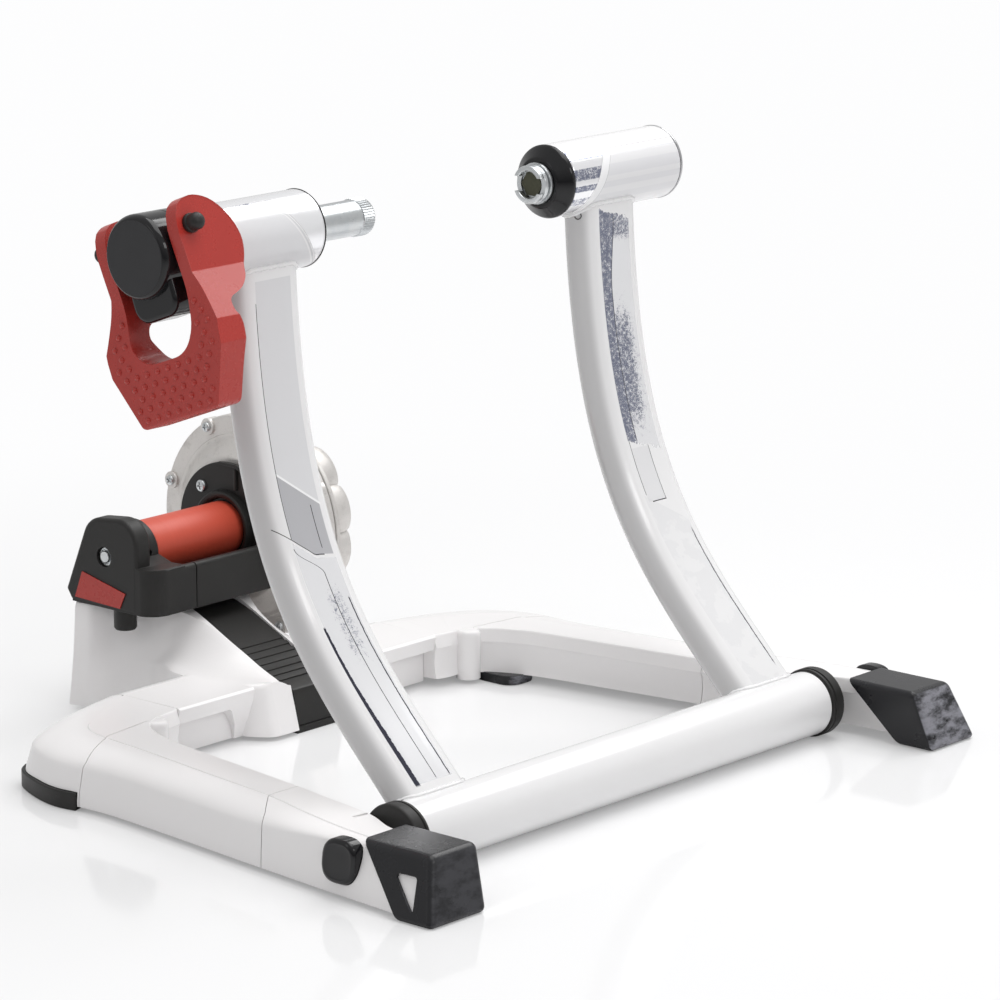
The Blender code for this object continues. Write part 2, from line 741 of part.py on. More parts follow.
def plunger(slide):
    """Push rod from the cam to the cup that holds the wheel axle, in its own frame."""
    tip, back = -PLUNGER_TIP_X, -PLUNGER_BACK_X
    step = tip - PLUNGER_CUP_DEPTH
    collar = -COLLAR_X
    radius = PLUNGER_RADIUS
    profile = [
        (0.0, step), (radius, step), (radius, collar), (COLLAR_RADIUS, collar),
        (COLLAR_RADIUS, collar - COLLAR_WIDTH), (radius, collar - COLLAR_WIDTH), (radius, back),
        (0.0, back)]
    turned("clamp_plunger", profile, slide, (PLUNGER_TIP_X, 0.0, 0.0), mat=zinc_steel())
    chamfer = 0.001
    socket = PLUNGER_SOCKET
    cup = [
        (0.0, step + 0.003), (socket, step + 0.003), (socket, tip),
        (PLUNGER_CUP_RADIUS - chamfer, tip), (PLUNGER_CUP_RADIUS, tip - chamfer),
        (PLUNGER_CUP_RADIUS, step + GAP), (0.0, step + GAP)]
    turned("plunger_cup", cup, slide, (PLUNGER_TIP_X, 0.0, 0.0), mat=zinc_steel())


def clamp_spring(axle):
    """Coil that pushes the plunger back, in the bore of the left housing."""
    length = SPRING_END_X - SPRING_START_X
    count = SPRING_TURNS * SPRING_POINTS
    points = []
    for index in range(count + 1):
        turn = 2 * math.pi * index / SPRING_POINTS
        x = -SPRING_START_X - length * index / count
        points.append(Vector((x, SPRING_RADIUS * math.cos(turn), SPRING_RADIUS * math.sin(turn))))
    for end, inward in ((0, 1), (-1, -2)):
        run = (points[end] - points[inward]).normalized() * 2 * SPRING_WIRE
        run.x = 0.0
        points.insert(0 if end == 0 else len(points), points[end] + run)
    pitch = length / SPRING_TURNS
    print("clamp_spring least gap to itself in mm:", round((pitch - 2 * SPRING_WIRE) * 1000, 2))
    curve = bpy.data.curves.new("clamp_spring", "CURVE")
    curve.dimensions = "3D"
    curve.bevel_depth = SPRING_WIRE
    curve.bevel_resolution = 1
    curve.use_fill_caps = True
    spline = curve.splines.new("POLY")
    spline.points.add(len(points) - 1)
    for target, point in zip(spline.points, points):
        target.co = (*point, 1.0)
    add("clamp_spring", curve, axle, (0.0, 0.0, 0.0), (0.0, 0.0, 0.0), bare_steel())


# Right housing, lock ring and adjustable cup


def right_housing(axle):
    bore = SCREW_RADIUS + GAP
    sleeve("right_axle_housing", HOUSING_RADIUS, bore, HOUSING_INNER_X, RIGHT_HOUSING_OUTER_X,
           axle, mat=white_paint(), facets=FINE)
    start = RIGHT_HOUSING_OUTER_X + GAP
    sleeve("right_outer_trim_ring", HOUSING_RADIUS + 0.0002, HOUSING_RADIUS - 0.004, start,
           start + TRIM_WIDTH, axle, mat=bare_steel(), facets=FINE)
    rim = HOUSING_RADIUS - 0.004 - GAP
    end = start + CAP_WIDTH
    profile = [(0.0, end), (rim - 0.001, end), (rim, end - 0.001), (rim, start), (0.0, start)]
    turned("right_end_cap", profile, axle, (0.0, 0.0, 0.0), mat=gloss_black(), facets=FINE)


def lock_ring(ring):
    """Conical nut that turns on the adjuster screw."""
    start, end = 0.0, RING_OUTER_X - RING_INNER_X
    bore = SCREW_RADIUS + RING_PLAY
    chamfer = 0.0005
    profile = [(bore, end), (RING_RADIUS - chamfer, end), (RING_RADIUS, end - chamfer),
               (RING_RADIUS, end - RING_RIM), (RING_RADIUS - chamfer, end - RING_RIM - 2 * chamfer),
               (RING_NOSE_RADIUS + 2 * chamfer, start + chamfer), (RING_NOSE_RADIUS, start),
               (bore, start)]
    turned("lock_ring", profile, ring, (0.0, 0.0, 0.0), mat=black_enamel(), facets=FINE)


def adjustable_cup(slide):
    """Hollow screw and notched socket that take the other end of the wheel axle."""
    collar_end = RING_INNER_X - GAP - CUP_FACE_X
    collar_start = collar_end - CUP_COLLAR_WIDTH
    screw_end = SCREW_END_X - CUP_FACE_X
    profile = [(SCREW_BORE, screw_end), (SCREW_RADIUS - 0.001, screw_end),
               (SCREW_RADIUS, screw_end - 0.001), (SCREW_RADIUS, collar_end),
               (CUP_COLLAR_RADIUS, collar_end), (CUP_COLLAR_RADIUS, collar_start),
               (SCREW_BORE, collar_start)]
    turned("adjuster_screw", profile, slide, (0.0, 0.0, 0.0), mat=zinc_steel())
    back = collar_start - GAP
    profile = [(CUP_HOLE, back), (CUP_RADIUS, back), (CUP_RADIUS, 0.001),
               (CUP_RADIUS - 0.001, 0.0), (CUP_SOCKET, 0.0), (CUP_SOCKET, CUP_SOCKET_DEPTH),
               (CUP_HOLE, CUP_SOCKET_DEPTH)]
    obj = turned("axle_cup", profile, slide, (0.0, 0.0, 0.0), mat=zinc_steel())
    notch = box("cup_notch", (2 * CUP_NOTCH_DEPTH, 3 * CUP_RADIUS, CUP_NOTCH), slide,
                (0.0, 0.0, 0.0))
    drain_radius = 0.0013
    drain = rod("cup_drain", drain_radius, 0.0, 2 * CUP_RADIUS, slide,
                (CUP_SOCKET_DEPTH - drain_radius, 0.0, 0.0), (math.pi, 0.0, 0.0), facets=10)
    cut(obj, notch, drain)


# Base legs, sleeves and rear corners


def rail_stations():
    """Plan places along one side, as (outer foot, edge of the flat top, inner edge)
    and the height where the outer wall starts to round over."""
    inner = LEG_INNER_X
    low, high = LEG_WALL_TOP, LEG_FRONT_WALL_TOP
    end = BRIDGE_HALF - BRIDGE_OVERLAP
    return [
        ((inner + 0.0581, -0.070), (inner + 0.0415, -0.070), (inner + 0.0155, -0.070), high),
        ((inner + 0.0535, -0.018), (inner + 0.0370, -0.018), (inner + 0.0140, -0.018), high),
        ((inner + 0.0505, 0.015), (inner + 0.0325, 0.015), (inner, 0.015), high),
        ((inner + 0.0425, 0.090), (SHOULDER_X, 0.090), (inner - 0.0135, 0.090), low),
        ((inner + 0.0356, 0.150), (inner + 0.0060, 0.150), (inner - 0.0225, 0.150), low),
        ((inner + 0.0295, 0.212), (inner - 0.0035, 0.214), (inner - 0.0320, 0.214), low),
        ((inner + 0.0295, 0.240), (inner - 0.0070, 0.244), (inner - 0.0390, 0.240), low),
        ((inner + 0.0317, 0.265), (inner - 0.0105, 0.270), (inner - 0.0500, 0.260), low),
        ((inner + 0.0271, 0.287), (inner - 0.0195, 0.288), (inner - 0.0640, 0.2685), low),
        ((inner + 0.0165, 0.311), (inner - 0.0405, 0.301), (inner - 0.0720, 0.2700), low),
        ((inner - 0.0105, 0.328), (inner - 0.0635, 0.313), (inner - 0.0785, 0.2710), low),
        ((inner - 0.0515, 0.340), (inner - 0.0775, 0.3195), (inner - 0.0840, 0.2720), low),
        ((end, BRIDGE_REAR_Y), (end, 0.325), (end, 0.2735), low),
    ]


def rail_ring(side, foot, top, inner, wall_top):
    """Section of the side rail: outer wall, soft shoulder, flat top and inner wall."""
    foot, top, inner = Vector(foot), Vector(top), Vector(inner)
    outward = (foot - top)
    steps = 4
    ring = [(foot.x, foot.y, LEG_BOTTOM)]
    lean = foot - outward * 0.10
    for step in range(steps + 1):
        turn = math.pi / 2 * step / steps
        spot = top + (lean - top) * math.cos(turn)
        ring.append((spot.x, spot.y, wall_top + (LEG_TOP - wall_top) * math.sin(turn)))
    inward = (inner - top).normalized() * LEG_CREASE_DEPTH
    ring.append((inner.x, inner.y, LEG_TOP))
    ring.append((inner.x + inward.x, inner.y + inward.y, LEG_CREASE))
    ring.append((inner.x + inward.x, inner.y + inward.y, LEG_INNER_BOTTOM))
    return [(side * x, y, z) for x, y, z in ring]


def rail(name, side, base, mat):
    rings = [rail_ring(side, *station) for station in rail_stations()]
    obj = loft(name, rings, base, mat=mat)
    smooth(obj, 30.0)
    return obj


def zone(name, side, base, points):
    """Upright prism over a plan outline, to split the rail into its pieces."""
    return flat(name, [[Vector(point) for point in mirrored(side, points)]], 0.2, base,
                (0.0, 0.0, 0.0), FACING_Z)


def front_seam(shift):
    return [(0.100, FRONT_SEAM_Y + shift), (SHOULDER_X, FRONT_SEAM_Y + shift),
            (RAIL_LIMIT, FRONT_SEAM_SIDE_Y - 0.020 + shift)]


def rear_seam(shift):
    return [(BRIDGE_HALF + 0.008, REAR_SEAM_Y + shift), (REAR_SHOULDER_X, REAR_SEAM_Y + shift),
            (LEG_INNER_X + 0.0325, REAR_SEAM_SIDE_Y + shift), (RAIL_LIMIT, REAR_SEAM_SIDE_Y + shift)]


def boot_corner(side, inset, sole):
    """Corners of the boot's outer shape, or of the nose inside it when inset."""
    def corner(sx, sy, sz):
        outer = sx * side > 0
        if sz > 0:
            x = BOOT_TOP_OUTER_X if outer else BOOT_TOP_INNER_X
            y = -BOOT_TOP_BACK_Y if sy > 0 else -BOOT_TOP_FRONT_Y
            z = BOOT_TOP_Z
        else:
            x = BOOT_OUTER_X if outer else BOOT_INNER_X
            y = -BOOT_BOTTOM_BACK_Y if sy > 0 else -BOOT_FRONT_Y
            z = 0.0
        x += -inset if outer else inset
        y += NOSE_REACH if inset and sy > 0 else inset * (1 if sy < 0 else 0)
        if inset:
            z += -inset if sz > 0 else sole
        return (side * x, y, z)
    return corner


def boot_front_zone(name, side, base):
    """Everything ahead of the slanted back edge of the boot."""
    lean = (BOOT_BOTTOM_BACK_Y - BOOT_TOP_BACK_Y) / BOOT_TOP_Z
    low, high = -0.010, 0.060
    return flat(name, [[
        Vector((-0.2, low)), Vector((-BOOT_BOTTOM_BACK_Y + lean * low + GAP, low)),
        Vector((-BOOT_BOTTOM_BACK_Y + lean * high + GAP, high)), Vector((-0.2, high))]],
        0.150, base, (side * (LEG_INNER_X + 0.0345), 0.0, 0.0), FACING_X)


def plug_outline(radius):
    return [Vector((point.x, point.y * PLUG_STRETCH)) for point in circle(radius, PLAIN)]


def front_leg(name, side, base):
    obj = rail(name, side, base, white_plastic())
    plan = [(0.100, -0.200), *front_seam(-GAP / 2), (RAIL_LIMIT, -0.200)]
    keep_inside(obj, zone(name + "_zone", side, base, plan))
    nose = block(name + "_nose", boot_corner(side, BOOT_WALL, BOOT_SOLE), base)
    seat = flat(name + "_plug_seat", [plug_outline(PLUG_RADIUS + GAP)], 0.020, base,
                (side * (PLUG_FACE_X - PLUG_DEPTH + 0.010 - GAP), -PLUG_Y, PLUG_Z), FACING_X)
    bore = rod(name + "_bore", BOLT_RADIUS + GAP, -0.080, 0.080, base,
               (side * LEG_INNER_X, 0.0, PIVOT_Z))
    head = rod(name + "_head_seat", BOLT_HEAD_RADIUS + GAP, 0.0, 0.030, base,
               (side * (PLUG_FACE_X - PLUG_DEPTH - BOLT_HEAD_HEIGHT - 2 * GAP), 0.0, PIVOT_Z),
               (0.0, side * math.pi / 2, 0.0))
    slot = box(name + "_slot", (0.016, 0.003, 0.008), base, (side * (LEG_INNER_X + 0.0052), 0.018, LEG_TOP),
               (0.0, 0.0, side * 0.15))
    room = rod(name + "_bushing_room", BUSHING_FLANGE_RADIUS + BUSHING_ROOM, 0.0, LEG_INNER_X, base,
               (0.0, 0.0, PIVOT_Z), (0.0, side * math.pi / 2, 0.0), facets=FINE)
    cut(obj, boot_front_zone(name + "_front_zone", side, base), slot, room)
    join(obj, nose)
    cut(obj, seat, head, bore)


def leg_sleeve(name, side, base):
    obj = rail(name, side, base, white_plastic())
    plan = [*front_seam(GAP / 2), *reversed(rear_seam(-GAP / 2))]
    keep_inside(obj, zone(name + "_zone", side, base, plan))
    cut(obj, pad_block(name + "_pad_seat", side, base, GAP))


def strip_outline(grow):
    """Band round the rear corner in plan: outer edge out and inner edge back."""
    inner = LEG_INNER_X
    outer = [(inner + 0.0306, 0.2470), (inner + 0.0325, 0.2650), (inner + 0.0275, 0.2875),
             (inner + 0.0165, 0.3120), (inner + 0.0045, 0.3215)]
    centre = Vector((inner - 0.0255, 0.265))
    spots = [Vector(point) for point in outer]
    out = [spot + (spot - centre).normalized() * (0.001 + grow) for spot in spots]
    back = [spot - (spot - centre).normalized() * (STRIP_WIDTH + grow) for spot in spots]
    along_start = (spots[0] - spots[1]).normalized() * grow
    along_end = (spots[-1] - spots[-2]).normalized() * grow
    out[0] = out[0] + along_start
    back[0] = back[0] + along_start
    out[-1] = out[-1] + along_end
    back[-1] = back[-1] + along_end
    return [tuple(point) for point in out + list(reversed(back))]


def rear_corner(name, side, base):
    obj = rail(name, side, base, white_plastic())
    plan = [(BRIDGE_HALF, REAR_SEAM_Y + GAP / 2), *rear_seam(GAP / 2), (RAIL_LIMIT, 0.400),
            (BRIDGE_HALF, 0.400)]
    keep_inside(obj, zone(name + "_zone", side, base, plan))
    points = [Vector(point) for point in mirrored(side, strip_outline(GAP))]
    rebate = flat(name + "_strip_seat", [points], 2 * (STRIP_HEIGHT + GAP), base,
                  (0.0, 0.0, 0.0), FACING_Z)
    cut(obj, rebate, pad_block(name + "_pad_seat", side, base, GAP))


def corner_strip(name, side, base):
    points = [Vector(point) for point in mirrored(side, strip_outline(0.0))]
    flat(name, [points], STRIP_HEIGHT, base, (0.0, 0.0, STRIP_HEIGHT / 2), FACING_Z,
         black_plastic())


def side_plug(name, side, base):
    flat(name, [plug_outline(PLUG_RADIUS)], PLUG_DEPTH, base,
         (side * (PLUG_FACE_X - PLUG_DEPTH / 2), -PLUG_Y, PLUG_Z), FACING_X, gloss_black())


def pivot_bushing(name, side, base):
    start = TUBE_HALF + GAP
    end = start + BUSHING_WIDTH - GAP
    spigot = TUBE_RADIUS - TUBE_WALL - GAP
    bore = BOLT_RADIUS + GAP
    profile = [(bore, end), (BUSHING_FLANGE_RADIUS, end), (BUSHING_FLANGE_RADIUS, start),
               (spigot, start), (spigot, start - BUSHING_SPIGOT), (bore, start - BUSHING_SPIGOT)]
    turned(name, profile, base, (0.0, 0.0, PIVOT_Z), (0.0, side * math.pi / 2, 0.0),
           black_plastic(), FINE)


def pivot_bolt(name, side, base):
    tail = TUBE_HALF - BUSHING_SPIGOT - BOLT_TAIL
    seat = PLUG_FACE_X - PLUG_DEPTH - BOLT_HEAD_HEIGHT - GAP
    head = seat + BOLT_HEAD_HEIGHT - GAP
    profile = [(0.0, head), (BOLT_HEAD_RADIUS, head), (BOLT_HEAD_RADIUS, seat),
               (BOLT_RADIUS, seat), (BOLT_RADIUS, tail), (0.0, tail)]
    turned(name, profile, base, (0.0, 0.0, PIVOT_Z), (0.0, side * math.pi / 2, 0.0),
           zinc_steel())


def foot_boot(name, side, base):
    obj = block(name, boot_corner(side, 0.0, 0.0), base, mat=soft_black())
    hollow = block(name + "_hollow", boot_corner(side, BOOT_WALL - GAP, BOOT_SOLE - GAP), base)
    window = flat(name + "_window", [fillet([(-0.0530, 0.0277, 0.002), (-0.0684, 0.0267, 0.002),
                                            (-0.0683, 0.0140, 0.002)], 2)],
                  0.020, base, (side * (LEG_INNER_X + 0.0565), 0.0, 0.0), FACING_X)
    cut(obj, hollow, window)


def pad_block(name, side, base, grow, mat=None):
    """Rubber pad, or the seat cut for it when grown. The seat also opens below the floor."""
    half_x, half_y = PAD_WIDTH / 2 + grow, PAD_LENGTH / 2 + grow
    corners = [(-half_x, -half_y, PAD_CORNER), (half_x, -half_y, PAD_CORNER),
               (half_x, half_y, PAD_CORNER), (-half_x, half_y, PAD_CORNER)]
    height = PAD_HEIGHT + 2 * grow
    return flat(name, [fillet(corners, 4)], height, base, (side * PAD_X, PAD_Y, PAD_HEIGHT / 2),
                FACING_Z, mat)


def under_pad(name, side, base):
    pad_block(name, side, base, 0.0, soft_black())


# Bridge with its hump and the ramp


def hump_ring(y, foot_half, top_half, top):
    return [(-foot_half, y, LEG_BOTTOM), (foot_half, y, LEG_BOTTOM),
            (foot_half, y, min(HUMP_BLOCK_TOP, top - 0.001)), (top_half, y, top),
            (-top_half, y, top), (-foot_half, y, min(HUMP_BLOCK_TOP, top - 0.001))]


def slope_height(y):
    """Height of the ramp's upper face over a place along Y."""
    return SLOPE_FOOT_Z + (y - RAMP_FOOT_Y) * math.tan(RAMP_ANGLE)


def ramp_outline(grow):
    """Ramp seen from the side: a front foot and a sloping plate."""
    foot, nose, end = RAMP_FOOT_Y, RAMP_FOOT_Y + 0.004, RAMP_END_Y
    return [Vector(point) for point in (
        (foot - grow, -grow), (nose - grow, RAMP_NOSE_Z), (nose + 0.006, slope_height(nose + 0.008)),
        (end + grow, RAMP_END_Z + grow), (end + grow, RAMP_END_Z - RAMP_THICKNESS - grow),
        (foot + 0.014 + grow, slope_height(foot + 0.012) - RAMP_THICKNESS - grow),
        (foot + 0.010 + grow, -grow))]


def rear_bridge(base):
    half = BRIDGE_HALF - GAP

    def bridge_corner(sx, sy, sz):
        if sy > 0:
            y = BRIDGE_REAR_Y if sz < 0 else 0.325
        else:
            y = 0.282 if sz < 0 else 0.273
        return (sx * half, y, LEG_TOP if sz > 0 else LEG_BOTTOM)

    obj = block("rear_bridge", bridge_corner, base, mat=white_plastic())
    hump = loft("hump", [
        hump_ring(HUMP_FRONT_Y, HUMP_HALF, 0.055, HUMP_BLOCK_TOP),
        hump_ring(0.300, HUMP_HALF, 0.045, slope_height(0.300) + 0.003),
        hump_ring(0.345, HUMP_HALF - 0.003, 0.042, slope_height(0.345) + 0.003),
        hump_ring(0.384, HUMP_WAIST_HALF, HUMP_WAIST_TOP, HUMP_TOP),
        hump_ring(0.396, HUMP_WAIST_HALF, HUMP_WAIST_TOP, HUMP_TOP),
        hump_ring(HUMP_REAR_Y, HUMP_REAR_HALF, 0.072, HUMP_TOP)], base)
    channel = flat("ramp_channel", [
        [Vector(point) for point in (
            (0.200, -0.020), (0.200, 0.090), (RAMP_END_Y + GAP, 0.090),
            (RAMP_END_Y + GAP, RAMP_END_Z - RAMP_THICKNESS - GAP),
            (RAMP_FOOT_Y + 0.0143, slope_height(RAMP_FOOT_Y + 0.0123) - RAMP_THICKNESS - GAP),
            (RAMP_FOOT_Y + 0.0103, -0.020))]],
        2 * (RAMP_HALF + GAP), base, (0.0, 0.0, 0.0), FACING_X)
    holes = [rod(f"bolt_way_{side}", MOUNT_BOLT_RADIUS + GAP, MOUNT_BOLT_END_Z - 0.005, 0.2, base,
                 (side * MOUNT_BOLT_X, MOUNT_BOLT_Y, 0.0), (0.0, 0.0, 0.0), facets=16)
             for side in (-1, 1)]
    near = BRACKET_PLATE_X - BRAKE_CLEARANCE
    hub, wide = FLANGE_HUB_RADIUS + BRAKE_CLEARANCE, FLANGE_RADIUS + BRAKE_CLEARANCE
    rim_x = FLANGE_X - BRAKE_CLEARANCE
    profile = [(0.0, 2 * COVER_X), (wide, 2 * COVER_X), (wide, rim_x), (hub + 0.012, rim_x),
               (hub, near), (0.0, near)]
    brake_room = turned("brake_room", profile, base, (0.0, BRAKE_Y, BRAKE_Z), facets=FINE)
    join(obj, hump)
    cut(obj, channel, brake_room, *holes)


def ramp_plate(base):
    flat("ramp_plate", [ramp_outline(0.0)], 2 * RAMP_HALF, base, (0.0, 0.0, 0.0), FACING_X,
         black_plastic())


# Roller and its casings


def roller(axis):
    core = ROLLER_RADIUS - ROLLER_SKIN
    sleeve("roller_sleeve", ROLLER_RADIUS, core, ROLLER_LEFT_X, ROLLER_RIGHT_X, axis,
           mat=roller_red(), facets=FINE)
    sleeve("roller_core", core - GAP, SHAFT_RADIUS + GAP, ROLLER_LEFT_X + 0.001,
           ROLLER_RIGHT_X - 0.001, axis, mat=cast_metal())
    rod("roller_shaft", SHAFT_RADIUS, SHAFT_LEFT_X, SHAFT_RIGHT_X, axis, mat=bare_steel())


def dome_outline():
    """Domed end plate seen from the side, as (y, z)."""
    low = HUMP_TOP + GAP
    return fillet([
        (DOME_FRONT_Y, 0.1430, 0.018), (DOME_FRONT_Y, BRACKET_TOP_Z, 0.0),
        (BRACKET_FRONT_Y, BRACKET_TOP_Z, 0.0), (BRACKET_FRONT_Y, low, 0.0),
        (BRACKET_REAR_Y, low, 0.0), (0.4352, 0.0842, 0.003), (0.4125, 0.1380, 0.018)], 4)


def saddle_outline():
    """Section between the end plate and the roller, under the shroud, as (y, z)."""
    low = HUMP_TOP + GAP
    rear = ROLLER_Y + SHROUD_RADIUS
    return [Vector(point) for point in (
        (BRACKET_FRONT_Y, low), (BRACKET_REAR_Y, low), (BRACKET_REAR_Y, 0.100), (rear, ROLLER_Z),
        (ROLLER_Y - SHROUD_RADIUS, ROLLER_Z), (BRACKET_FRONT_Y + 0.012, BRACKET_TOP_Z - 0.002),
        (BRACKET_FRONT_Y, BRACKET_TOP_Z))]


def corner_cutter(base):
    """What goes from the front corner of the end casing to round it in plan."""
    centre = Vector((BRACKET_LEFT_X + CORNER_RADIUS, BRACKET_FRONT_Y + CORNER_RADIUS))
    outside = Vector((BRACKET_LEFT_X - 0.005, BRACKET_FRONT_Y - 0.005))
    steps = 6
    points = [Vector((outside.x, centre.y))]
    for index in range(steps + 1):
        turn = math.pi / 2 * index / steps
        points.append(centre - CORNER_RADIUS * Vector((math.cos(turn), math.sin(turn))))
    points += [Vector((centre.x, outside.y)), outside]
    return flat("corner_cutter", [points], 0.2, base, (0.0, 0.0, ROLLER_Z), FACING_Z)


def trough_outline():
    """Section of the casing under the roller: front wall, floor and rear lip."""
    front, rear, low = BRACKET_FRONT_Y, BRACKET_REAR_Y, HUMP_TOP + GAP
    return [Vector(point) for point in (
        (front + 0.001, low), (rear, low), (rear, low + 0.020), (rear - BRACKET_WALL, low + 0.020),
        (rear - BRACKET_WALL - 0.004, low + BRACKET_FLOOR),
        (front + BRACKET_WALL + 0.010, low + BRACKET_FLOOR),
        (front + BRACKET_WALL + 0.002, BRACKET_TOP_Z - 0.002), (front, BRACKET_TOP_Z))]


def left_casing(base):
    at = (0.0, ROLLER_Y, ROLLER_Z)
    width = DOME_INNER_X - BRACKET_LEFT_X
    obj = flat("unit_end_casing", [dome_outline()], width, base,
               (BRACKET_LEFT_X + width / 2, 0.0, 0.0), FACING_X, black_plastic())
    lap = 0.001
    middle = CHEEK_X - DOME_INNER_X + lap
    saddle = flat("end_casing_saddle", [saddle_outline()], middle, base,
                  (CHEEK_X - middle / 2, 0.0, 0.0), FACING_X)
    shroud = rod("end_casing_shroud", SHROUD_RADIUS, DOME_INNER_X - lap, CHEEK_X, base, at,
                 facets=FINE)
    span = BRACKET_SEAM_X - CHEEK_X + 2 * lap
    trough = flat("end_casing_trough", [trough_outline()], span, base,
                  (BRACKET_SEAM_X - GAP / 2 - span / 2, 0.0, 0.0), FACING_X)
    peg = rod("peg", PEG_RADIUS, PEG_BOTTOM_Z, HUMP_TOP + 0.005, base, (PEG_X, PEG_Y, 0.0),
              (0.0, 0.0, 0.0))
    shaft_way = rod("end_casing_shaft_way", SHAFT_RADIUS + 2 * GAP, SHAFT_LEFT_X - GAP, 0.0, base,
                    at)
    pocket = rod("end_casing_bearing_seat", BEARING_RADIUS + GAP,
                 CHEEK_X - 0.003 - BEARING_WIDTH - GAP, 0.0, base, at)
    recess = rod("end_casing_recess", BOLT_RECESS, -0.090, BRACKET_LEFT_X + 0.005, base, at)
    bolt_way = rod("end_casing_bolt_way", AXLE_BOLT_RADIUS - 0.0007 + GAP, -0.090,
                   SHAFT_LEFT_X, base, at, facets=16)
    dips = [rod(f"boss_dip_{index}", DIP_RADIUS, SHROUD_RADIUS - DIP_DEPTH, SHROUD_RADIUS + 0.005,
                base, (DIP_X, ROLLER_Y, ROLLER_Z), (math.radians(angle), 0.0, 0.0), facets=12)
            for index, angle in enumerate(DIP_ANGLES)]
    join(obj, saddle, shroud, trough, peg)
    cut(obj, corner_cutter(base), shaft_way, pocket, recess, bolt_way, *dips,
        *mounting_ways(base, "end_casing"))


def mounting_ways(base, label):
    return [rod(f"{label}_mount_way_{side}", MOUNT_BOLT_RADIUS + GAP, 0.0, 0.2, base,
                (side * MOUNT_BOLT_X, MOUNT_BOLT_Y, 0.0), (0.0, 0.0, 0.0), facets=16)
            for side in (-1, 1)]


def plate_outline():
    """Backing plate of the casing: round over the roller, with a foot at the front."""
    centre = Vector((ROLLER_Y, ROLLER_Z))
    points = []
    steps = 16
    for step in range(steps + 1):
        turn = math.radians(-15.0 + 190.0 * step / steps)
        points.append(centre + PLATE_RADIUS * Vector((math.cos(turn), math.sin(turn))))
    low = HUMP_TOP + GAP
    return points + [Vector((BRACKET_FRONT_Y, low)), Vector((BRACKET_REAR_Y, low))]


def right_casing(base):
    start = BRACKET_SEAM_X + GAP / 2
    plate_start = BRACKET_PLATE_X - PLATE_THICKNESS
    span = plate_start - start + 0.001
    obj = flat("unit_roller_casing", [trough_outline()], span, base,
               (start + span / 2, 0.0, 0.0), FACING_X, black_plastic())
    plate = flat("casing_plate", [plate_outline()], PLATE_THICKNESS, base,
                 (BRACKET_PLATE_X - PLATE_THICKNESS / 2, 0.0, 0.0), FACING_X)
    shaft_way = rod("plate_shaft_way", BEARING_RADIUS + 2 * GAP, 0.0, 0.080, base,
                    (0.0, ROLLER_Y, ROLLER_Z))
    join(obj, plate)
    cut(obj, shaft_way, *mounting_ways(base, "roller_casing"), *plate_screw_ways(base))


def plate_screw_places():
    return ((0.4198, 0.1386), (0.3700, 0.0880))


def plate_screw_ways(base):
    return [rod(f"plate_screw_way_{index}", 0.0017 + GAP, 0.030, 0.058, base, (0.0, y, z),
                facets=12) for index, (y, z) in enumerate(plate_screw_places())]


def headed_screw(name, head_x, shank_end, place, base, shank=0.0017, head=SCREW_HEAD_RADIUS):
    """Round-headed screw whose head faces -X."""
    rise = 0.0022
    profile = [(0.0, shank_end), (shank, shank_end), (shank, head_x), (head, head_x),
               (head, head_x - rise * 0.5), (head * 0.6, head_x - rise), (0.0, head_x - rise)]
    return turned(name, profile, base, (0.0, *place), mat=zinc_steel(), facets=12)


def bearings_and_bolts(base):
    at = (0.0, ROLLER_Y, ROLLER_Z)
    bore = SHAFT_RADIUS + GAP
    left = CHEEK_X - 0.003 - BEARING_WIDTH
    sleeve("left_bearing", BEARING_RADIUS, bore, left, left + BEARING_WIDTH, base, at,
           mat=bare_steel())
    right = BRACKET_PLATE_X + 0.001
    sleeve("right_bearing", BEARING_RADIUS, bore, right, right + BEARING_WIDTH, base, at,
           mat=bare_steel())
    sleeve("shaft_seal", SHAFT_RADIUS + 0.004, bore, right + BEARING_WIDTH + GAP,
           right + BEARING_WIDTH + 0.005, base, at, mat=soft_black())
    face = BRACKET_LEFT_X + 0.005 - GAP
    shank = AXLE_BOLT_RADIUS - 0.0007
    profile = [(0.0, SHAFT_LEFT_X - 2 * GAP), (shank, SHAFT_LEFT_X - 2 * GAP), (shank, face),
               (BOLT_RECESS - 2 * GAP, face), (BOLT_RECESS - 2 * GAP, face - 0.001),
               (AXLE_BOLT_RADIUS, face - 0.001), (AXLE_BOLT_RADIUS, face - 0.004),
               (0.0, face - 0.004)]
    turned("roller_end_bolt", profile, base, at, mat=zinc_steel(), facets=PLAIN)


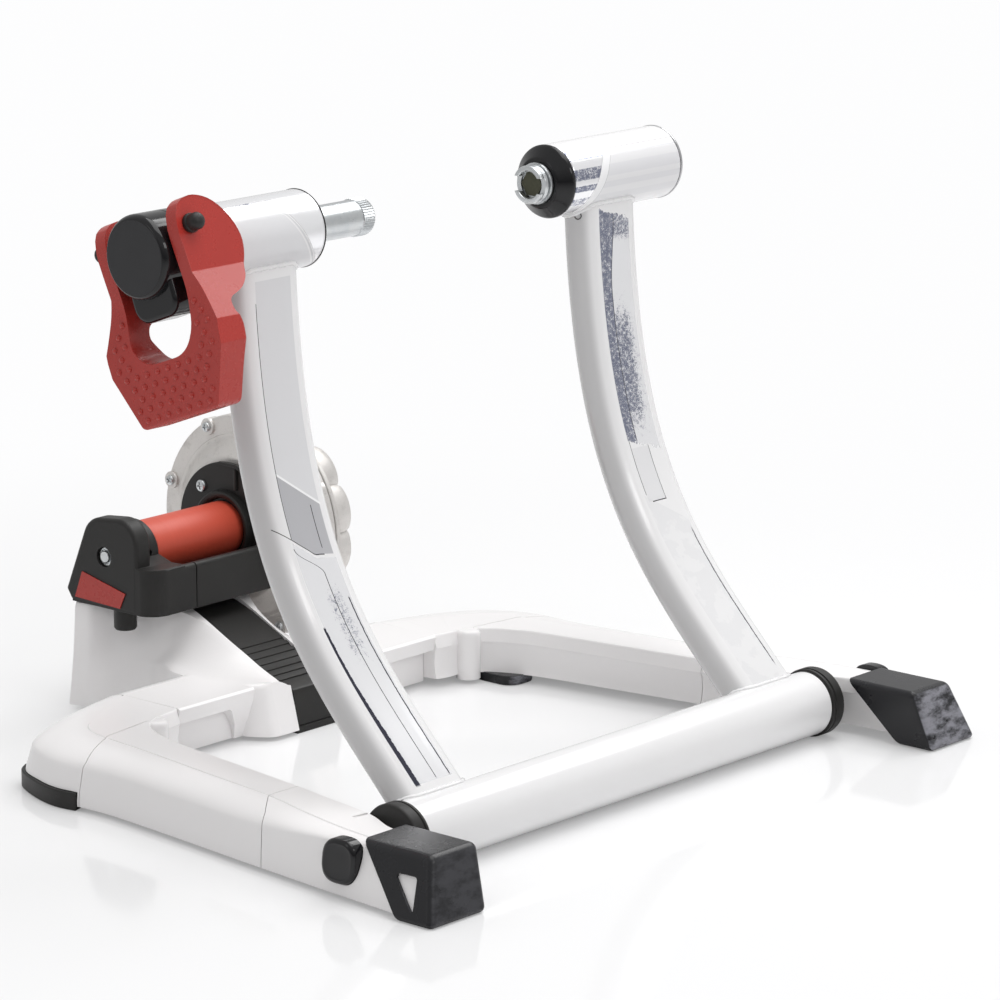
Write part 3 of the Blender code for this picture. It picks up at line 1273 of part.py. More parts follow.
def brake_flange(base):
    """Cast front of the fluid brake: a disc with a hub that meets the casing plate."""
    at = (0.0, BRAKE_Y, BRAKE_Z)
    hub_x = BRACKET_PLATE_X + GAP
    back = FLANGE_X + FLANGE_THICKNESS
    profile = [(0.0, back), (FLANGE_RADIUS, back), (FLANGE_RADIUS, FLANGE_X + 0.003),
               (FLANGE_RADIUS - 0.003, FLANGE_X), (FLANGE_HUB_RADIUS + 0.012, FLANGE_X),
               (FLANGE_HUB_RADIUS, hub_x), (0.0, hub_x)]
    obj = turned("brake_flange", profile, base, at, mat=cast_metal(), facets=FINE)
    shaft_at = (0.0, ROLLER_Y, ROLLER_Z)
    seat = rod("flange_bearing_seat", BEARING_RADIUS + GAP, 0.040,
               BRACKET_PLATE_X + 0.001 + BEARING_WIDTH + GAP, base, shaft_at)
    seal_seat = rod("flange_seal_seat", SHAFT_RADIUS + 0.004 + GAP, 0.040,
                    BRACKET_PLATE_X + 0.001 + BEARING_WIDTH + 0.005 + GAP, base, shaft_at)
    way = rod("flange_shaft_way", SHAFT_RADIUS + 2 * GAP, 0.040, 0.090, base, shaft_at)
    screws = [rod(f"flange_plate_hole_{index}", 0.0017 + GAP, 0.040, 0.0602 + GAP, base,
                  (0.0, y, z), facets=12) for index, (y, z) in enumerate(plate_screw_places())]
    rim = [rod(f"flange_rim_hole_{index}", 0.0017 + GAP, 0.040, 0.090, base, (0.0, y, z), facets=12)
           for index, (y, z) in enumerate(flange_screw_places())]
    cut(obj, seat, seal_seat, way, *screws, *rim)


def flange_screw_places():
    places = []
    for index in range(FLANGE_SCREWS):
        turn = FLANGE_SCREW_START + FLANGE_SCREW_STEP * index
        places.append((BRAKE_Y + FLANGE_SCREW_CIRCLE * math.cos(turn),
                       BRAKE_Z + FLANGE_SCREW_CIRCLE * math.sin(turn)))
    return places


def lobed_outline(radius, depth):
    """Round outline with shallow lobes."""
    points = []
    per_lobe = 6
    for index in range(COVER_LOBES * per_lobe):
        turn = 2 * math.pi * index / (COVER_LOBES * per_lobe)
        swell = abs(math.sin(turn * COVER_LOBES / 2))
        reach = radius - depth * (1 - swell)
        points.append(Vector((reach * math.cos(turn), reach * math.sin(turn))))
    return points


def brake_cover(base):
    """Lobed back shell of the brake, open towards the flange, and its gasket."""
    start = FLANGE_X + FLANGE_THICKNESS + GAP
    seam = start + 0.0015
    sleeve("brake_gasket", COVER_RADIUS - 0.006, COVER_RADIUS - 0.012, start, seam - GAP, base,
           (0.0, BRAKE_Y, BRAKE_Z), mat=soft_black(), facets=FINE)
    depth = COVER_X - seam
    obj = flat("brake_cover", [lobed_outline(COVER_RADIUS, COVER_LOBE_DEPTH)], depth, base,
               (seam + depth / 2, BRAKE_Y, BRAKE_Z), FACING_X, cast_metal())
    rim = turned("cover_rim", [(0.0, seam + 0.004), (FLANGE_RADIUS - 0.001, seam + 0.004),
                               (FLANGE_RADIUS - 0.001, seam), (0.0, seam)], base,
                 (0.0, BRAKE_Y, BRAKE_Z), facets=FINE)
    hollow = rod("cover_hollow", IMPELLER_RADIUS + 0.003, 0.050, COVER_X - COVER_WALL, base,
                 (0.0, BRAKE_Y, BRAKE_Z), facets=FINE)
    holes = [rod(f"cover_hole_{index}", 0.0017 + GAP, 0.050, seam + 0.0025, base, (0.0, y, z),
                 facets=12) for index, (y, z) in enumerate(flange_screw_places())]
    join(obj, rim)
    cut(obj, hollow, *holes)


def impeller(axis):
    """Bladed disc on the end of the roller shaft, inside the brake."""
    start = 0.080
    thickness = 0.004
    bore = SHAFT_RADIUS + GAP
    disc = sleeve("impeller", IMPELLER_RADIUS - 0.004, bore, start, start + thickness, axis,
                  mat=cast_metal())
    hub = sleeve("impeller_hub", SHAFT_RADIUS + 0.006, bore, start, start + 0.016, axis)
    blades = []
    for index in range(IMPELLER_BLADES):
        turn = 2 * math.pi * index / IMPELLER_BLADES
        reach = IMPELLER_RADIUS - 0.012
        middle = (reach + SHAFT_RADIUS + 0.004) / 2
        length = reach - SHAFT_RADIUS - 0.004
        blades.append(box(f"blade_{index}", (0.012, length, 0.003), axis,
                          (start + thickness + 0.004, middle * math.cos(turn),
                           middle * math.sin(turn)), (turn, 0.0, 0.0)))
    join(disc, hub, *blades)


def unit_screws(base):
    plate_face = BRACKET_PLATE_X - PLATE_THICKNESS - GAP
    for index, place in enumerate(plate_screw_places()):
        headed_screw(f"casing_screw_{index + 1}", plate_face, 0.060, place, base, head=0.0042)
    seam = FLANGE_X + FLANGE_THICKNESS + GAP + 0.0015
    for index, place in enumerate(flange_screw_places()):
        headed_screw(f"flange_screw_{index + 1}", FLANGE_X - GAP, seam + 0.002, place, base)
    for label, side in SIDES:
        top = HUMP_TOP + GAP + BRACKET_FLOOR + GAP
        head, shank = MOUNT_BOLT_RADIUS * 1.8, MOUNT_BOLT_RADIUS
        profile = [(0.0, top + 0.004), (head, top + 0.004), (head, top), (shank, top),
                   (shank, MOUNT_BOLT_END_Z), (0.0, MOUNT_BOLT_END_Z)]
        turned(f"{label}_mounting_bolt", profile, base, (side * MOUNT_BOLT_X, MOUNT_BOLT_Y, 0.0),
               (0.0, 0.0, 0.0), zinc_steel(), 16)


def build_base(base):
    for label, side in SIDES:
        front_leg(f"{label}_front_leg", side, base)
        leg_sleeve(f"{label}_leg_sleeve", side, base)
        rear_corner(f"{label}_rear_corner", side, base)
        foot_boot(f"{label}_foot_boot", side, base)
        corner_strip(f"{label}_corner_strip", side, base)
        under_pad(f"{label}_under_pad", side, base)
        side_plug(f"{label}_side_plug", side, base)
        pivot_bushing(f"{label}_pivot_bushing", side, base)
        pivot_bolt(f"{label}_pivot_bolt", side, base)
    rear_bridge(base)
    ramp_plate(base)


def build_unit(base, axis):
    left_casing(base)
    right_casing(base)
    bearings_and_bolts(base)
    brake_flange(base)
    brake_cover(base)
    unit_screws(base)
    roller(axis)
    impeller(axis)


def build_frame(fold, axle, head):
    pivot_tube(fold)
    for label, side in SIDES:
        upright(f"{label}_upright", side, fold)
    left_housing(axle)
    right_housing(axle)
    clamp_head(head)
    clamp_spring(axle)


def main():
    clear_scene()
    make_collections()
    base = make_empty("base_corner", None, (0.0, PIVOT_Y, 0.0))
    fold = make_empty("fold_axis", base, (0.0, 0.0, PIVOT_Z))
    axle = make_empty("axle_line", fold, (0.0, AXLE_Y, AXLE_Z - PIVOT_Z))
    head = make_empty("head_turn", axle, (0.0, 0.0, 0.0), (-HEAD_TILT, 0.0, 0.0))
    pin = make_empty("lever_axis", head, (-PIN_X, 0.0, PIN_RISE))
    slide = make_empty("plunger_slide", axle, (-PLUNGER_TIP_X, 0.0, 0.0))
    ring = make_empty("lock_ring_axis", axle, (RING_INNER_X, 0.0, 0.0))
    cup = make_empty("cup_slide", axle, (CUP_FACE_X, 0.0, 0.0))
    roller_axis = make_empty("roller_axis", base, (0.0, ROLLER_Y, ROLLER_Z))
    build_base(base)
    build_unit(base, roller_axis)
    build_frame(fold, axle, head)
    lever(pin)
    lever_pin(pin)
    plunger(slide)
    lock_ring(ring)
    adjustable_cup(cup)


if __name__ == "__main__":
    main()
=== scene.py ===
"""Looks of a fluid bike trainer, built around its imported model.

Every new piece rides on a body of the model and most stand for one of its nodes.
Lengths are in metres in the model's own frame: +X runs from the lever side to the
adjuster side, +Y from the cross tube to the roller, and +Z is up.
"""
import json
import math

import bmesh
import bpy
from bpy.props import FloatProperty, FloatVectorProperty, PointerProperty
from bpy.types import Operator, Panel, PropertyGroup
from mathutils import Matrix, Vector
from mathutils.kdtree import KDTree

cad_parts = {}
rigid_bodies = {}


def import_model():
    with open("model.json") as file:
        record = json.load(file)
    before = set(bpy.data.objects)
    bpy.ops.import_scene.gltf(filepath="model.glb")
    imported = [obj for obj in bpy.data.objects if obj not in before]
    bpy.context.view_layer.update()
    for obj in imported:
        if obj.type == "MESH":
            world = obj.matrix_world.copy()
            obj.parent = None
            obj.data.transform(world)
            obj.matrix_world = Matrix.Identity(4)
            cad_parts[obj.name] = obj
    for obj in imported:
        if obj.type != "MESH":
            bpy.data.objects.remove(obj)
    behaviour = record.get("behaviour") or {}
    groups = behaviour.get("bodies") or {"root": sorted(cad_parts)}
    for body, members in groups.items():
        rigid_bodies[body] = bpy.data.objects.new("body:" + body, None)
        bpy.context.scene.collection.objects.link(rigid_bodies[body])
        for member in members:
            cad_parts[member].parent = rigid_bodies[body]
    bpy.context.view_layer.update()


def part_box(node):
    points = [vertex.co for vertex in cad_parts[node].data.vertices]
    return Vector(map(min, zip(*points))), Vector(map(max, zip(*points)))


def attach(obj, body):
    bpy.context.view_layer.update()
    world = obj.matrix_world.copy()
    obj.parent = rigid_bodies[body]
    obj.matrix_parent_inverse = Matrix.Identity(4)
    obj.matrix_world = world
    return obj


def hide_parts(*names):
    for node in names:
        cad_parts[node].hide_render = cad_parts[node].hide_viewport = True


bl_info = {
    "name": "Fluid Bike Trainer",
    "version": (1, 0, 0),
    "blender": (4, 5, 0),
    "location": "3D View > Sidebar > Trainer",
    "description": "Builds the visible pieces and finishes of a folding fluid bike trainer",
    "category": "Object",
}

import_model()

SIDES = (("left", -1), ("right", 1))


def middle(node):
    low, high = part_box(node)
    return (low + high) / 2


# Places taken from the model
TUBE_Y = middle("cross_tube").y
TUBE_Z = middle("cross_tube").z
TUBE_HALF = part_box("cross_tube")[1].x
AXLE_Y = middle("left_axle_housing").y
AXLE_Z = middle("left_axle_housing").z
UPRIGHT_X = middle("right_upright").x
ROLLER_Y = middle("roller_sleeve").y
ROLLER_Z = middle("roller_sleeve").z
BRAKE_Y = middle("brake_flange").y
BRAKE_Z = middle("brake_flange").z
TUBE = Vector((0.0, TUBE_Y, TUBE_Z))
AXLE = Vector((0.0, AXLE_Y, AXLE_Z))
ROLLER = Vector((0.0, ROLLER_Y, ROLLER_Z))
BRAKE = Vector((0.0, BRAKE_Y, BRAKE_Z))
LEG_INNER = TUBE_HALF + 0.0131

LEFT = Vector((-1.0, 0.0, 0.0))
UP = Vector((0.0, 0.0, 1.0))

# Clamp head and lever lean with this angle about the axle
LEAN = math.radians(20.56)
ACROSS = Vector((0.0, math.cos(LEAN), -math.sin(LEAN)))
DOWN = Vector((0.0, -math.sin(LEAN), -math.cos(LEAN)))


# Mesh work


def deselect():
    """Leave edit mode and clear the selection."""
    if bpy.context.object and bpy.context.object.mode != "OBJECT":
        bpy.ops.object.mode_set(mode="OBJECT")
    bpy.ops.object.select_all(action="DESELECT")


def pick(obj):
    """Select one object alone and make it the active one."""
    deselect()
    obj.select_set(True)
    bpy.context.view_layer.objects.active = obj


def open_mesh(name):
    """Name the primitive that was just added and go on in edit mode."""
    obj = bpy.context.active_object
    obj.name = name
    obj.data.name = name
    bpy.ops.object.mode_set(mode="EDIT")
    return obj


def choose(kind, test):
    """Select the verts, edges or faces that pass a test, and nothing else."""
    bpy.ops.mesh.select_mode(type=kind)
    bpy.ops.mesh.select_all(action="DESELECT")
    mesh = bpy.context.edit_object.data
    bm = bmesh.from_edit_mesh(mesh)
    items = {"VERT": bm.verts, "EDGE": bm.edges, "FACE": bm.faces}[kind]
    for item in items:
        if test(item):
            item.select_set(True)
    bm.select_flush_mode()
    bmesh.update_edit_mesh(mesh)


def resize(factors, centre):
    bpy.ops.transform.resize(value=factors, center_override=tuple(centre))


def put_verts(places):
    """Give the selected verts their new places, each found by where it is now."""
    mesh = bpy.context.edit_object.data
    bm = bmesh.from_edit_mesh(mesh)
    tree = KDTree(len(places))
    for index, (here, _) in enumerate(places):
        tree.insert(here, index)
    tree.balance()
    for vert in bm.verts:
        if vert.select:
            vert.co = places[tree.find(vert.co)[1]][1]
    bmesh.update_edit_mesh(mesh)


def ring(name, points):
    """Start a piece as one closed row of points, all selected, in edit mode."""
    deselect()
    bpy.ops.mesh.primitive_circle_add(vertices=len(points), radius=1.0, location=(0.0, 0.0, 0.0))
    obj = open_mesh(name)
    bm = bmesh.from_edit_mesh(obj.data)
    for vert, point in zip(bm.verts, points):
        vert.co = point
    bmesh.update_edit_mesh(obj.data)
    bpy.ops.mesh.select_all(action="SELECT")
    return obj


def mean(points):
    return sum((Vector(point) for point in points), Vector()) / len(points)


def close_up():
    """Close open ends, merge doubles and turn the faces outwards."""
    bpy.ops.mesh.select_mode(type="VERT")
    bpy.ops.mesh.select_all(action="SELECT")
    bpy.ops.mesh.remove_doubles(threshold=0.000002)
    bpy.ops.mesh.select_all(action="SELECT")
    bpy.ops.mesh.fill_holes(sides=0)
    bpy.ops.mesh.select_all(action="SELECT")
    bpy.ops.mesh.normals_make_consistent(inside=False)


def sections(name, rings):
    """Extrude one ring of points through a row of rings."""
    rings = [[Vector(point) for point in row] for row in rings]
    obj = ring(name, rings[0])
    for before, after in zip(rings, rings[1:]):
        step = mean(after) - mean(before)
        if step.length < 0.0001:
            step = Vector((0.0001, 0.00013, 0.00017))
        bpy.ops.mesh.extrude_edges_move(TRANSFORM_OT_translate={"value": tuple(step)})
        put_verts([(here + step, there) for here, there in zip(before, after)])
    close_up()
    bpy.ops.object.mode_set(mode="OBJECT")
    return obj


def turned(name, profile, centre, axis=(1.0, 0.0, 0.0), facets=64):
    """Shape a round piece: a circle is extruded and resized along (radius, distance) points.

    A profile that starts and ends on the same point makes a closed hollow ring.
    """
    deselect()
    axis = Vector(axis).normalized()
    centre = Vector(centre)
    turn = UP.rotation_difference(axis).to_euler()
    radius, along = profile[0]
    bpy.ops.mesh.primitive_circle_add(vertices=facets, radius=radius, rotation=turn,
                                      location=centre + axis * along)
    obj = open_mesh(name)
    bpy.ops.mesh.select_all(action="SELECT")
    for next_radius, next_along in profile[1:]:
        step = axis * (next_along - along)
        bpy.ops.mesh.extrude_edges_move(TRANSFORM_OT_translate={"value": tuple(step)})
        factor = next_radius / radius
        resize((factor, factor, factor), centre + axis * next_along)
        radius, along = next_radius, next_along
    close_up()
    pick(obj)
    bpy.ops.object.transform_apply(location=True, rotation=True, scale=True)
    return obj


def prism(name, outline, thickness):
    """Fill a closed outline of points and extrude it by a thickness vector."""
    obj = ring(name, outline)
    bpy.ops.mesh.edge_face_add()
    bpy.ops.mesh.extrude_region_move(TRANSFORM_OT_translate={"value": tuple(thickness)})
    bpy.ops.mesh.select_all(action="SELECT")
    bpy.ops.mesh.normals_make_consistent(inside=False)
    bpy.ops.object.mode_set(mode="OBJECT")
    return obj


def side_prism(name, outline, start, end):
    """Prism along X over an outline of (y from the cross tube, z)."""
    return prism(name, [(start, TUBE_Y + y, z) for y, z in outline], (end - start, 0.0, 0.0))


def plan_prism(name, side, outline, low, high):
    """Upright prism over an outline of (x, y from the cross tube)."""
    return prism(name, [(side * x, TUBE_Y + y, low) for x, y in outline],
                 (0.0, 0.0, high - low))


def brick(name, low, high):
    """A box between two corners."""
    deselect()
    low, high = Vector(low), Vector(high)
    bpy.ops.mesh.primitive_cube_add(size=1.0, location=(low + high) / 2, scale=high - low)
    obj = open_mesh(name)
    bpy.ops.object.mode_set(mode="OBJECT")
    bpy.ops.object.transform_apply(location=True, rotation=True, scale=True)
    return obj


def apply(obj, kind, **settings):
    """Add a modifier with its settings and apply it."""
    pick(obj)
    modifier = obj.modifiers.new(kind.title(), kind)
    for key, value in settings.items():
        setattr(modifier, key, value)
    bpy.ops.object.modifier_apply(modifier=modifier.name)
    return obj


def combine(obj, other, operation):
    """Cut, join or keep what two solids share, and remove the second one."""
    apply(obj, "BOOLEAN", operation=operation, object=other, solver="EXACT")
    bpy.data.objects.remove(other, do_unlink=True)
    return obj


def cut(obj, *others):
    for other in others:
        combine(obj, other, "DIFFERENCE")
    return obj


def merge(obj, *others):
    """Make one object of several, without changing their shapes."""
    deselect()
    for other in (obj, *others):
        other.select_set(True)
    bpy.context.view_layer.objects.active = obj
    bpy.ops.object.join()
    return obj


def soften(obj, width, segments=2, angle=30.0):
    """Round the edges over an angle."""
    return apply(obj, "BEVEL", width=width, segments=segments, limit_method="ANGLE",
                 angle_limit=math.radians(angle), use_clamp_overlap=True)


def finish(obj, body, paint, replaces=(), angle=40.0, even=True):
    """Shade a piece, give it its paint, tie it to its body and hide the nodes that it replaces."""
    pick(obj)
    bpy.ops.object.shade_smooth_by_angle(angle=math.radians(angle))
    if even:
        apply(obj, "WEIGHTED_NORMAL", keep_sharp=True, weight=90)
    obj.data.materials.clear()
    obj.data.materials.append(painted(paint))
    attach(obj, body)
    if replaces:
        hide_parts(*replaces)
    return obj


def copy_of(obj, name, change):
    """Copy a piece with its own mesh, changed by a matrix."""
    twin = obj.copy()
    twin.data = obj.data.copy()
    twin.name = name
    twin.data.name = name
    bpy.context.scene.collection.objects.link(twin)
    twin.data.transform(change)
    if change.determinant() < 0:
        twin.data.flip_normals()
    return twin


def rounded(corners, steps=6):
    """Closed flat outline; the third value of each corner is its radius."""
    points = []
    count = len(corners)
    for index, (x, y, radius) in enumerate(corners):
        here = Vector((x, y))
        if radius <= 0.0:
            points.append(here)
            continue
        before = Vector(corners[index - 1][:2]) - here
        after = Vector(corners[(index + 1) % count][:2]) - here
        half = before.angle(after) / 2
        reach = min(radius / math.tan(half), 0.49 * before.length, 0.49 * after.length)
        inset = reach * math.tan(half)
        away = (before.normalized() + after.normalized()).normalized() * inset / math.sin(half)
        start = here + before.normalized() * reach - (here + away)
        end = here + after.normalized() * reach - (here + away)
        sweep = start.angle_signed(end)
        for step in range(steps + 1):
            turn = -sweep * step / steps
            cosine, sine = math.cos(turn), math.sin(turn)
            points.append(here + away + Vector((start.x * cosine - start.y * sine,
                                                start.x * sine + start.y * cosine)))
    return points


def smooth_row(rows, parts):
    """Points between given ones on a smooth curve, for each column of numbers."""
    result = []
    last = len(rows) - 1
    for index in range(last):
        before = rows[max(index - 1, 0)]
        here, there = rows[index], rows[index + 1]
        after = rows[min(index + 2, last)]
        for part in range(parts):
            t = part / parts
            result.append([0.5 * (2 * b + (c - a) * t + (2 * a - 5 * b + 4 * c - d) * t * t
                                  + (3 * b - a - 3 * c + d) * t ** 3)
                           for a, b, c, d in zip(before, here, there, after)])
    result.append(list(rows[-1]))
    return result


# Paint work


class Value:
    """A shader socket that takes part in Python sums."""

    def __init__(self, paint, socket):
        self.paint = paint
        self.socket = socket

    def __add__(self, other):
        return self.paint.math("ADD", self, other)

    __radd__ = __add__

    def __sub__(self, other):
        return self.paint.math("SUBTRACT", self, other)

    def __rsub__(self, other):
        return self.paint.math("SUBTRACT", other, self)

    def __mul__(self, other):
        return self.paint.math("MULTIPLY", self, other)

    __rmul__ = __mul__

    def abs(self):
        return self.paint.math("ABSOLUTE", self)

    def rise(self, low, high):
        """0 below low, 1 above high and a smooth step between."""
        node = self.paint.node("ShaderNodeMapRange", {"interpolation_type": "SMOOTHSTEP"},
                               {"Value": self, "From Min": low, "From Max": high})
        return Value(self.paint, node.outputs["Result"])

    def fall(self, low, high):
        return 1.0 - self.rise(low, high)

    def within(self, low, high, edge):
        """1 between two values, with soft ends."""
        return self.rise(low - edge, low + edge) * self.fall(high - edge, high + edge)

    def line(self, at, half, edge):
        """1 on a thin line where the value is near a number or another value."""
        return (self - at).abs().fall(half - edge, half + edge)


class Paint:
    """A material on the Principled shader, with its pattern worked out in Python."""

    def __init__(self, name, colour, roughness, metallic=0.0, coat=0.0, specular=0.5):
        self.material = bpy.data.materials.new(name)
        self.material.use_nodes = True
        self.tree = self.material.node_tree
        self.shader = self.tree.nodes["Principled BSDF"]
        self.colour = (*colour, 1.0)
        self.material.diffuse_color = self.colour
        self.shader.inputs["Base Color"].default_value = self.colour
        self.shader.inputs["Roughness"].default_value = roughness
        self.shader.inputs["Metallic"].default_value = metallic
        self.shader.inputs["Coat Weight"].default_value = coat
        self.shader.inputs["Coat Roughness"].default_value = 0.06
        self.shader.inputs["Specular IOR Level"].default_value = specular
        self.where = self.node("ShaderNodeTexCoord").outputs["Object"]

    def node(self, kind, settings=None, values=None):
        """Add a node; its settings come first, then the values or links of its sockets."""
        node = self.tree.nodes.new(kind)
        for key, value in (settings or {}).items():
            setattr(node, key, value)
        for key, value in (values or {}).items():
            self.feed(node.inputs[key], value)
        return node

    def feed(self, socket, value):
        if isinstance(value, Value):
            self.tree.links.new(value.socket, socket)
        elif isinstance(value, bpy.types.NodeSocket):
            self.tree.links.new(value, socket)
        else:
            socket.default_value = value

    def math(self, operation, *values):
        node = self.node("ShaderNodeMath", {"operation": operation}, dict(enumerate(values)))
        return Value(self, node.outputs[0])

    def axes(self, source=None):
        """The three numbers of a place on the piece."""
        node = self.node("ShaderNodeSeparateXYZ", None, {"Vector": source or self.where})
        return [Value(self, output) for output in node.outputs]

    def facing(self):
        """The three numbers of the way that the surface looks."""
        coordinates = self.node("ShaderNodeTexCoord")
        return self.axes(coordinates.outputs["Normal"])

    def stretched(self, factors):
        node = self.node("ShaderNodeMapping", None, {"Vector": self.where, "Scale": factors})
        return node.outputs["Vector"]

    def noise(self, scale, detail=3.0, rough=0.55, where=None):
        node = self.node("ShaderNodeTexNoise", None, {
            "Vector": where or self.where, "Scale": scale, "Detail": detail,
            "Roughness": rough})
        return Value(self, node.outputs["Fac"])

    def cells(self, scale):
        node = self.node("ShaderNodeTexVoronoi", {"feature": "F1"},
                         {"Vector": self.where, "Scale": scale})
        return Value(self, node.outputs["Distance"])

    def mix(self, factor, first, second):
        node = self.node("ShaderNodeMix", {"data_type": "RGBA"}, {0: factor, 6: first, 7: second})
        return node.outputs[2]

    def colour_is(self, value):
        self.feed(self.shader.inputs["Base Color"], value)

    def rough_is(self, value):
        self.feed(self.shader.inputs["Roughness"], value)

    def metal_is(self, value):
        self.feed(self.shader.inputs["Metallic"], value)

    def bump_is(self, height, distance, strength=1.0):
        node = self.node("ShaderNodeBump", None, {"Height": height, "Distance": distance,
                                                  "Strength": strength})
        self.feed(self.shader.inputs["Normal"], node.outputs["Normal"])


def shade(red, green, blue):
    return (red, green, blue, 1.0)


def darker(colour, factor):
    return shade(*(channel * factor for channel in colour[:3]))


def tint(key):
    """A colour that the panel holds."""
    return getattr(bpy.context.scene.trainer_colours, key)


def white_plastic(name):
    paint = Paint(name, tint("white_plastic"), 0.3)
    cloud = paint.noise(7.0, 2.0)
    rubs = paint.noise(30.0, 5.0, 0.6, paint.stretched((1.0, 3.0, 2.0))).rise(0.50, 0.90)
    paint.colour_is(paint.mix(cloud * 0.5 + rubs * 0.25, paint.colour, darker(paint.colour, 0.96)))
    paint.rough_is(0.21 + 0.06 * cloud + 0.04 * rubs)
    paint.bump_is(paint.noise(800.0, 2.0), 0.00003, 0.2)
    return paint


def white_paint(name):
    paint = Paint(name, tint("white_paint"), 0.22, coat=0.3)
    cloud = paint.noise(14.0, 2.0)
    paint.colour_is(paint.mix(cloud * 0.6, paint.colour, darker(paint.colour, 0.96)))
    paint.rough_is(0.17 + 0.08 * cloud)
    paint.bump_is(paint.noise(260.0, 2.0), 0.00006, 0.3)
    return paint


def black_plastic(name):
    paint = Paint(name, tint("black_plastic"), 0.5, specular=0.32)
    grain = paint.noise(1500.0, 2.0)
    cloud = paint.noise(30.0, 3.0)
    dust = paint.noise(420.0, 5.0, 0.75).rise(0.60, 0.74)
    paint.colour_is(paint.mix(cloud * 0.35 + dust * 0.4, paint.colour, shade(0.050, 0.048, 0.046)))
    paint.rough_is(0.38 + 0.14 * cloud + 0.12 * dust)
    paint.bump_is(grain + paint.cells(900.0) * 0.6, 0.00009, 0.45)
    return paint


def gloss_black(name):
    paint = Paint(name, tint("gloss_black"), 0.1, specular=0.38)
    cloud = paint.noise(55.0, 3.0)
    specks = paint.noise(900.0, 3.0, 0.8).rise(0.66, 0.74)
    paint.colour_is(paint.mix(cloud * 0.3 + specks * 0.25, paint.colour,
                              shade(0.028, 0.028, 0.030)))
    paint.rough_is(0.07 + 0.08 * cloud + 0.1 * specks)
    return paint


def matt_face_black(name):
    """The head's flat end: less glossy than its side."""
    paint = Paint(name, (0.026, 0.026, 0.028), 0.4, specular=0.28)
    cloud = paint.noise(40.0, 3.0)
    specks = paint.noise(700.0, 4.0, 0.8).rise(0.62, 0.72)
    paint.colour_is(paint.mix(cloud * 0.4 + specks * 0.3, paint.colour, shade(0.05, 0.05, 0.053)))
    paint.rough_is(0.34 + 0.16 * cloud)
    return paint


def soft_black(name):
    """Boots: smooth and dark, the right one pale in patches on its front, partly wear and partly
    painted light.
    """
    paint = Paint(name, tint("soft_black"), 0.3, specular=0.27)
    x = paint.axes()[0]
    cloud = paint.noise(26.0, 4.0, 0.6)
    specks = paint.noise(900.0, 3.0, 0.8).rise(0.64, 0.74)
    rubs = paint.noise(60.0, 5.0, 0.65, paint.stretched((1.0, 1.0, 2.2)))
    # Pale patches on faces turned to -Y, mostly on the right boot: partly wear, partly painted light.
    front = paint.facing()[1].fall(-0.75, -0.55)
    worn_and_lit_front = front * (x.rise(-0.01, 0.01) * 0.72 + 0.10) * rubs.rise(0.34, 0.62)
    shown = paint.mix(specks * 0.2 + cloud * 0.2, paint.colour, shade(0.06, 0.06, 0.064))
    paint.colour_is(paint.mix(worn_and_lit_front, shown, shade(0.30, 0.30, 0.335)))
    paint.rough_is(0.20 + 0.16 * cloud + 0.10 * specks + 0.1 * worn_and_lit_front)
    paint.bump_is(paint.noise(650.0, 3.0) + worn_and_lit_front * 0.4, 0.00006, 0.3)
    return paint


def red_paint(name):
    paint = Paint(name, tint("lever_red"), 0.3, specular=0.45)
    cloud = paint.noise(24.0, 3.0)
    fine = paint.noise(300.0, 3.0)
    chips = paint.noise(520.0, 4.0, 0.8).rise(0.67, 0.73)
    base = paint.mix(cloud * 0.6, paint.colour, darker(paint.colour, 0.82))
    paint.colour_is(paint.mix(chips * 0.35, base, shade(0.55, 0.12, 0.10)))
    paint.rough_is(0.20 + 0.10 * cloud + 0.05 * fine)
    paint.bump_is(fine, 0.00006, 0.25)
    return paint


def foil_look(paint, dark, ground=(0.93, 0.93, 0.95)):
    """Speckled foil: bright, and blue-grey where a mask is high, with ragged edges."""
    ragged = paint.noise(380.0, 5.0, 0.80) - 0.5
    fine = paint.noise(1500.0, 3.0, 0.9) - 0.5
    inked = (dark + ragged * 1.5 + fine * 1.3).rise(0.34, 0.62)
    return paint.mix(inked, shade(*ground), shade(0.19, 0.205, 0.28))


def roller_red(name):
    """Streaks run round the roller."""
    paint = Paint(name, tint("roller_red"), 0.4)
    rings = paint.noise(900.0, 3.0, 0.6, paint.stretched((1.0, 0.02, 0.02)))
    cloud = paint.noise(40.0, 3.0)
    fine = paint.noise(1200.0, 2.0)
    paint.colour_is(paint.mix(rings * 0.35 + cloud * 0.25, paint.colour,
                              darker(paint.colour, 0.72)))
    paint.rough_is(0.34 + 0.14 * rings + 0.06 * cloud)
    paint.bump_is(rings * 0.5 + fine, 0.00006, 0.35)
    return paint


def zinc_steel(name):
    paint = Paint(name, tint("zinc"), 0.3, 1.0)
    cloud = paint.noise(110.0, 4.0, 0.7)
    bloom = paint.noise(380.0, 4.0, 0.75)
    paint.colour_is(paint.mix(cloud, paint.colour, shade(0.50, 0.53, 0.56)))
    paint.rough_is(0.20 + 0.22 * bloom)
    paint.bump_is(bloom, 0.0001, 0.35)
    return paint


def bare_steel(name):
    paint = Paint(name, tint("steel"), 0.28, 1.0)
    rings = paint.noise(1100.0, 3.0, 0.6, paint.stretched((1.0, 0.05, 0.05)))
    paint.colour_is(paint.mix(rings * 0.6, paint.colour, shade(0.40, 0.40, 0.41)))
    paint.rough_is(0.20 + 0.20 * rings)
    paint.bump_is(rings, 0.00005, 0.3)
    return paint


def olive_shaded_steel(name):
    """Passivated olive steel inside the cup, darkened as painted shade."""
    paint = Paint(name, (0.10, 0.10, 0.065), 0.35, 0.7)
    bloom = paint.noise(420.0, 4.0, 0.75)
    paint.colour_is(paint.mix(bloom, paint.colour, shade(0.05, 0.05, 0.035)))
    paint.rough_is(0.25 + 0.25 * bloom)
    return paint


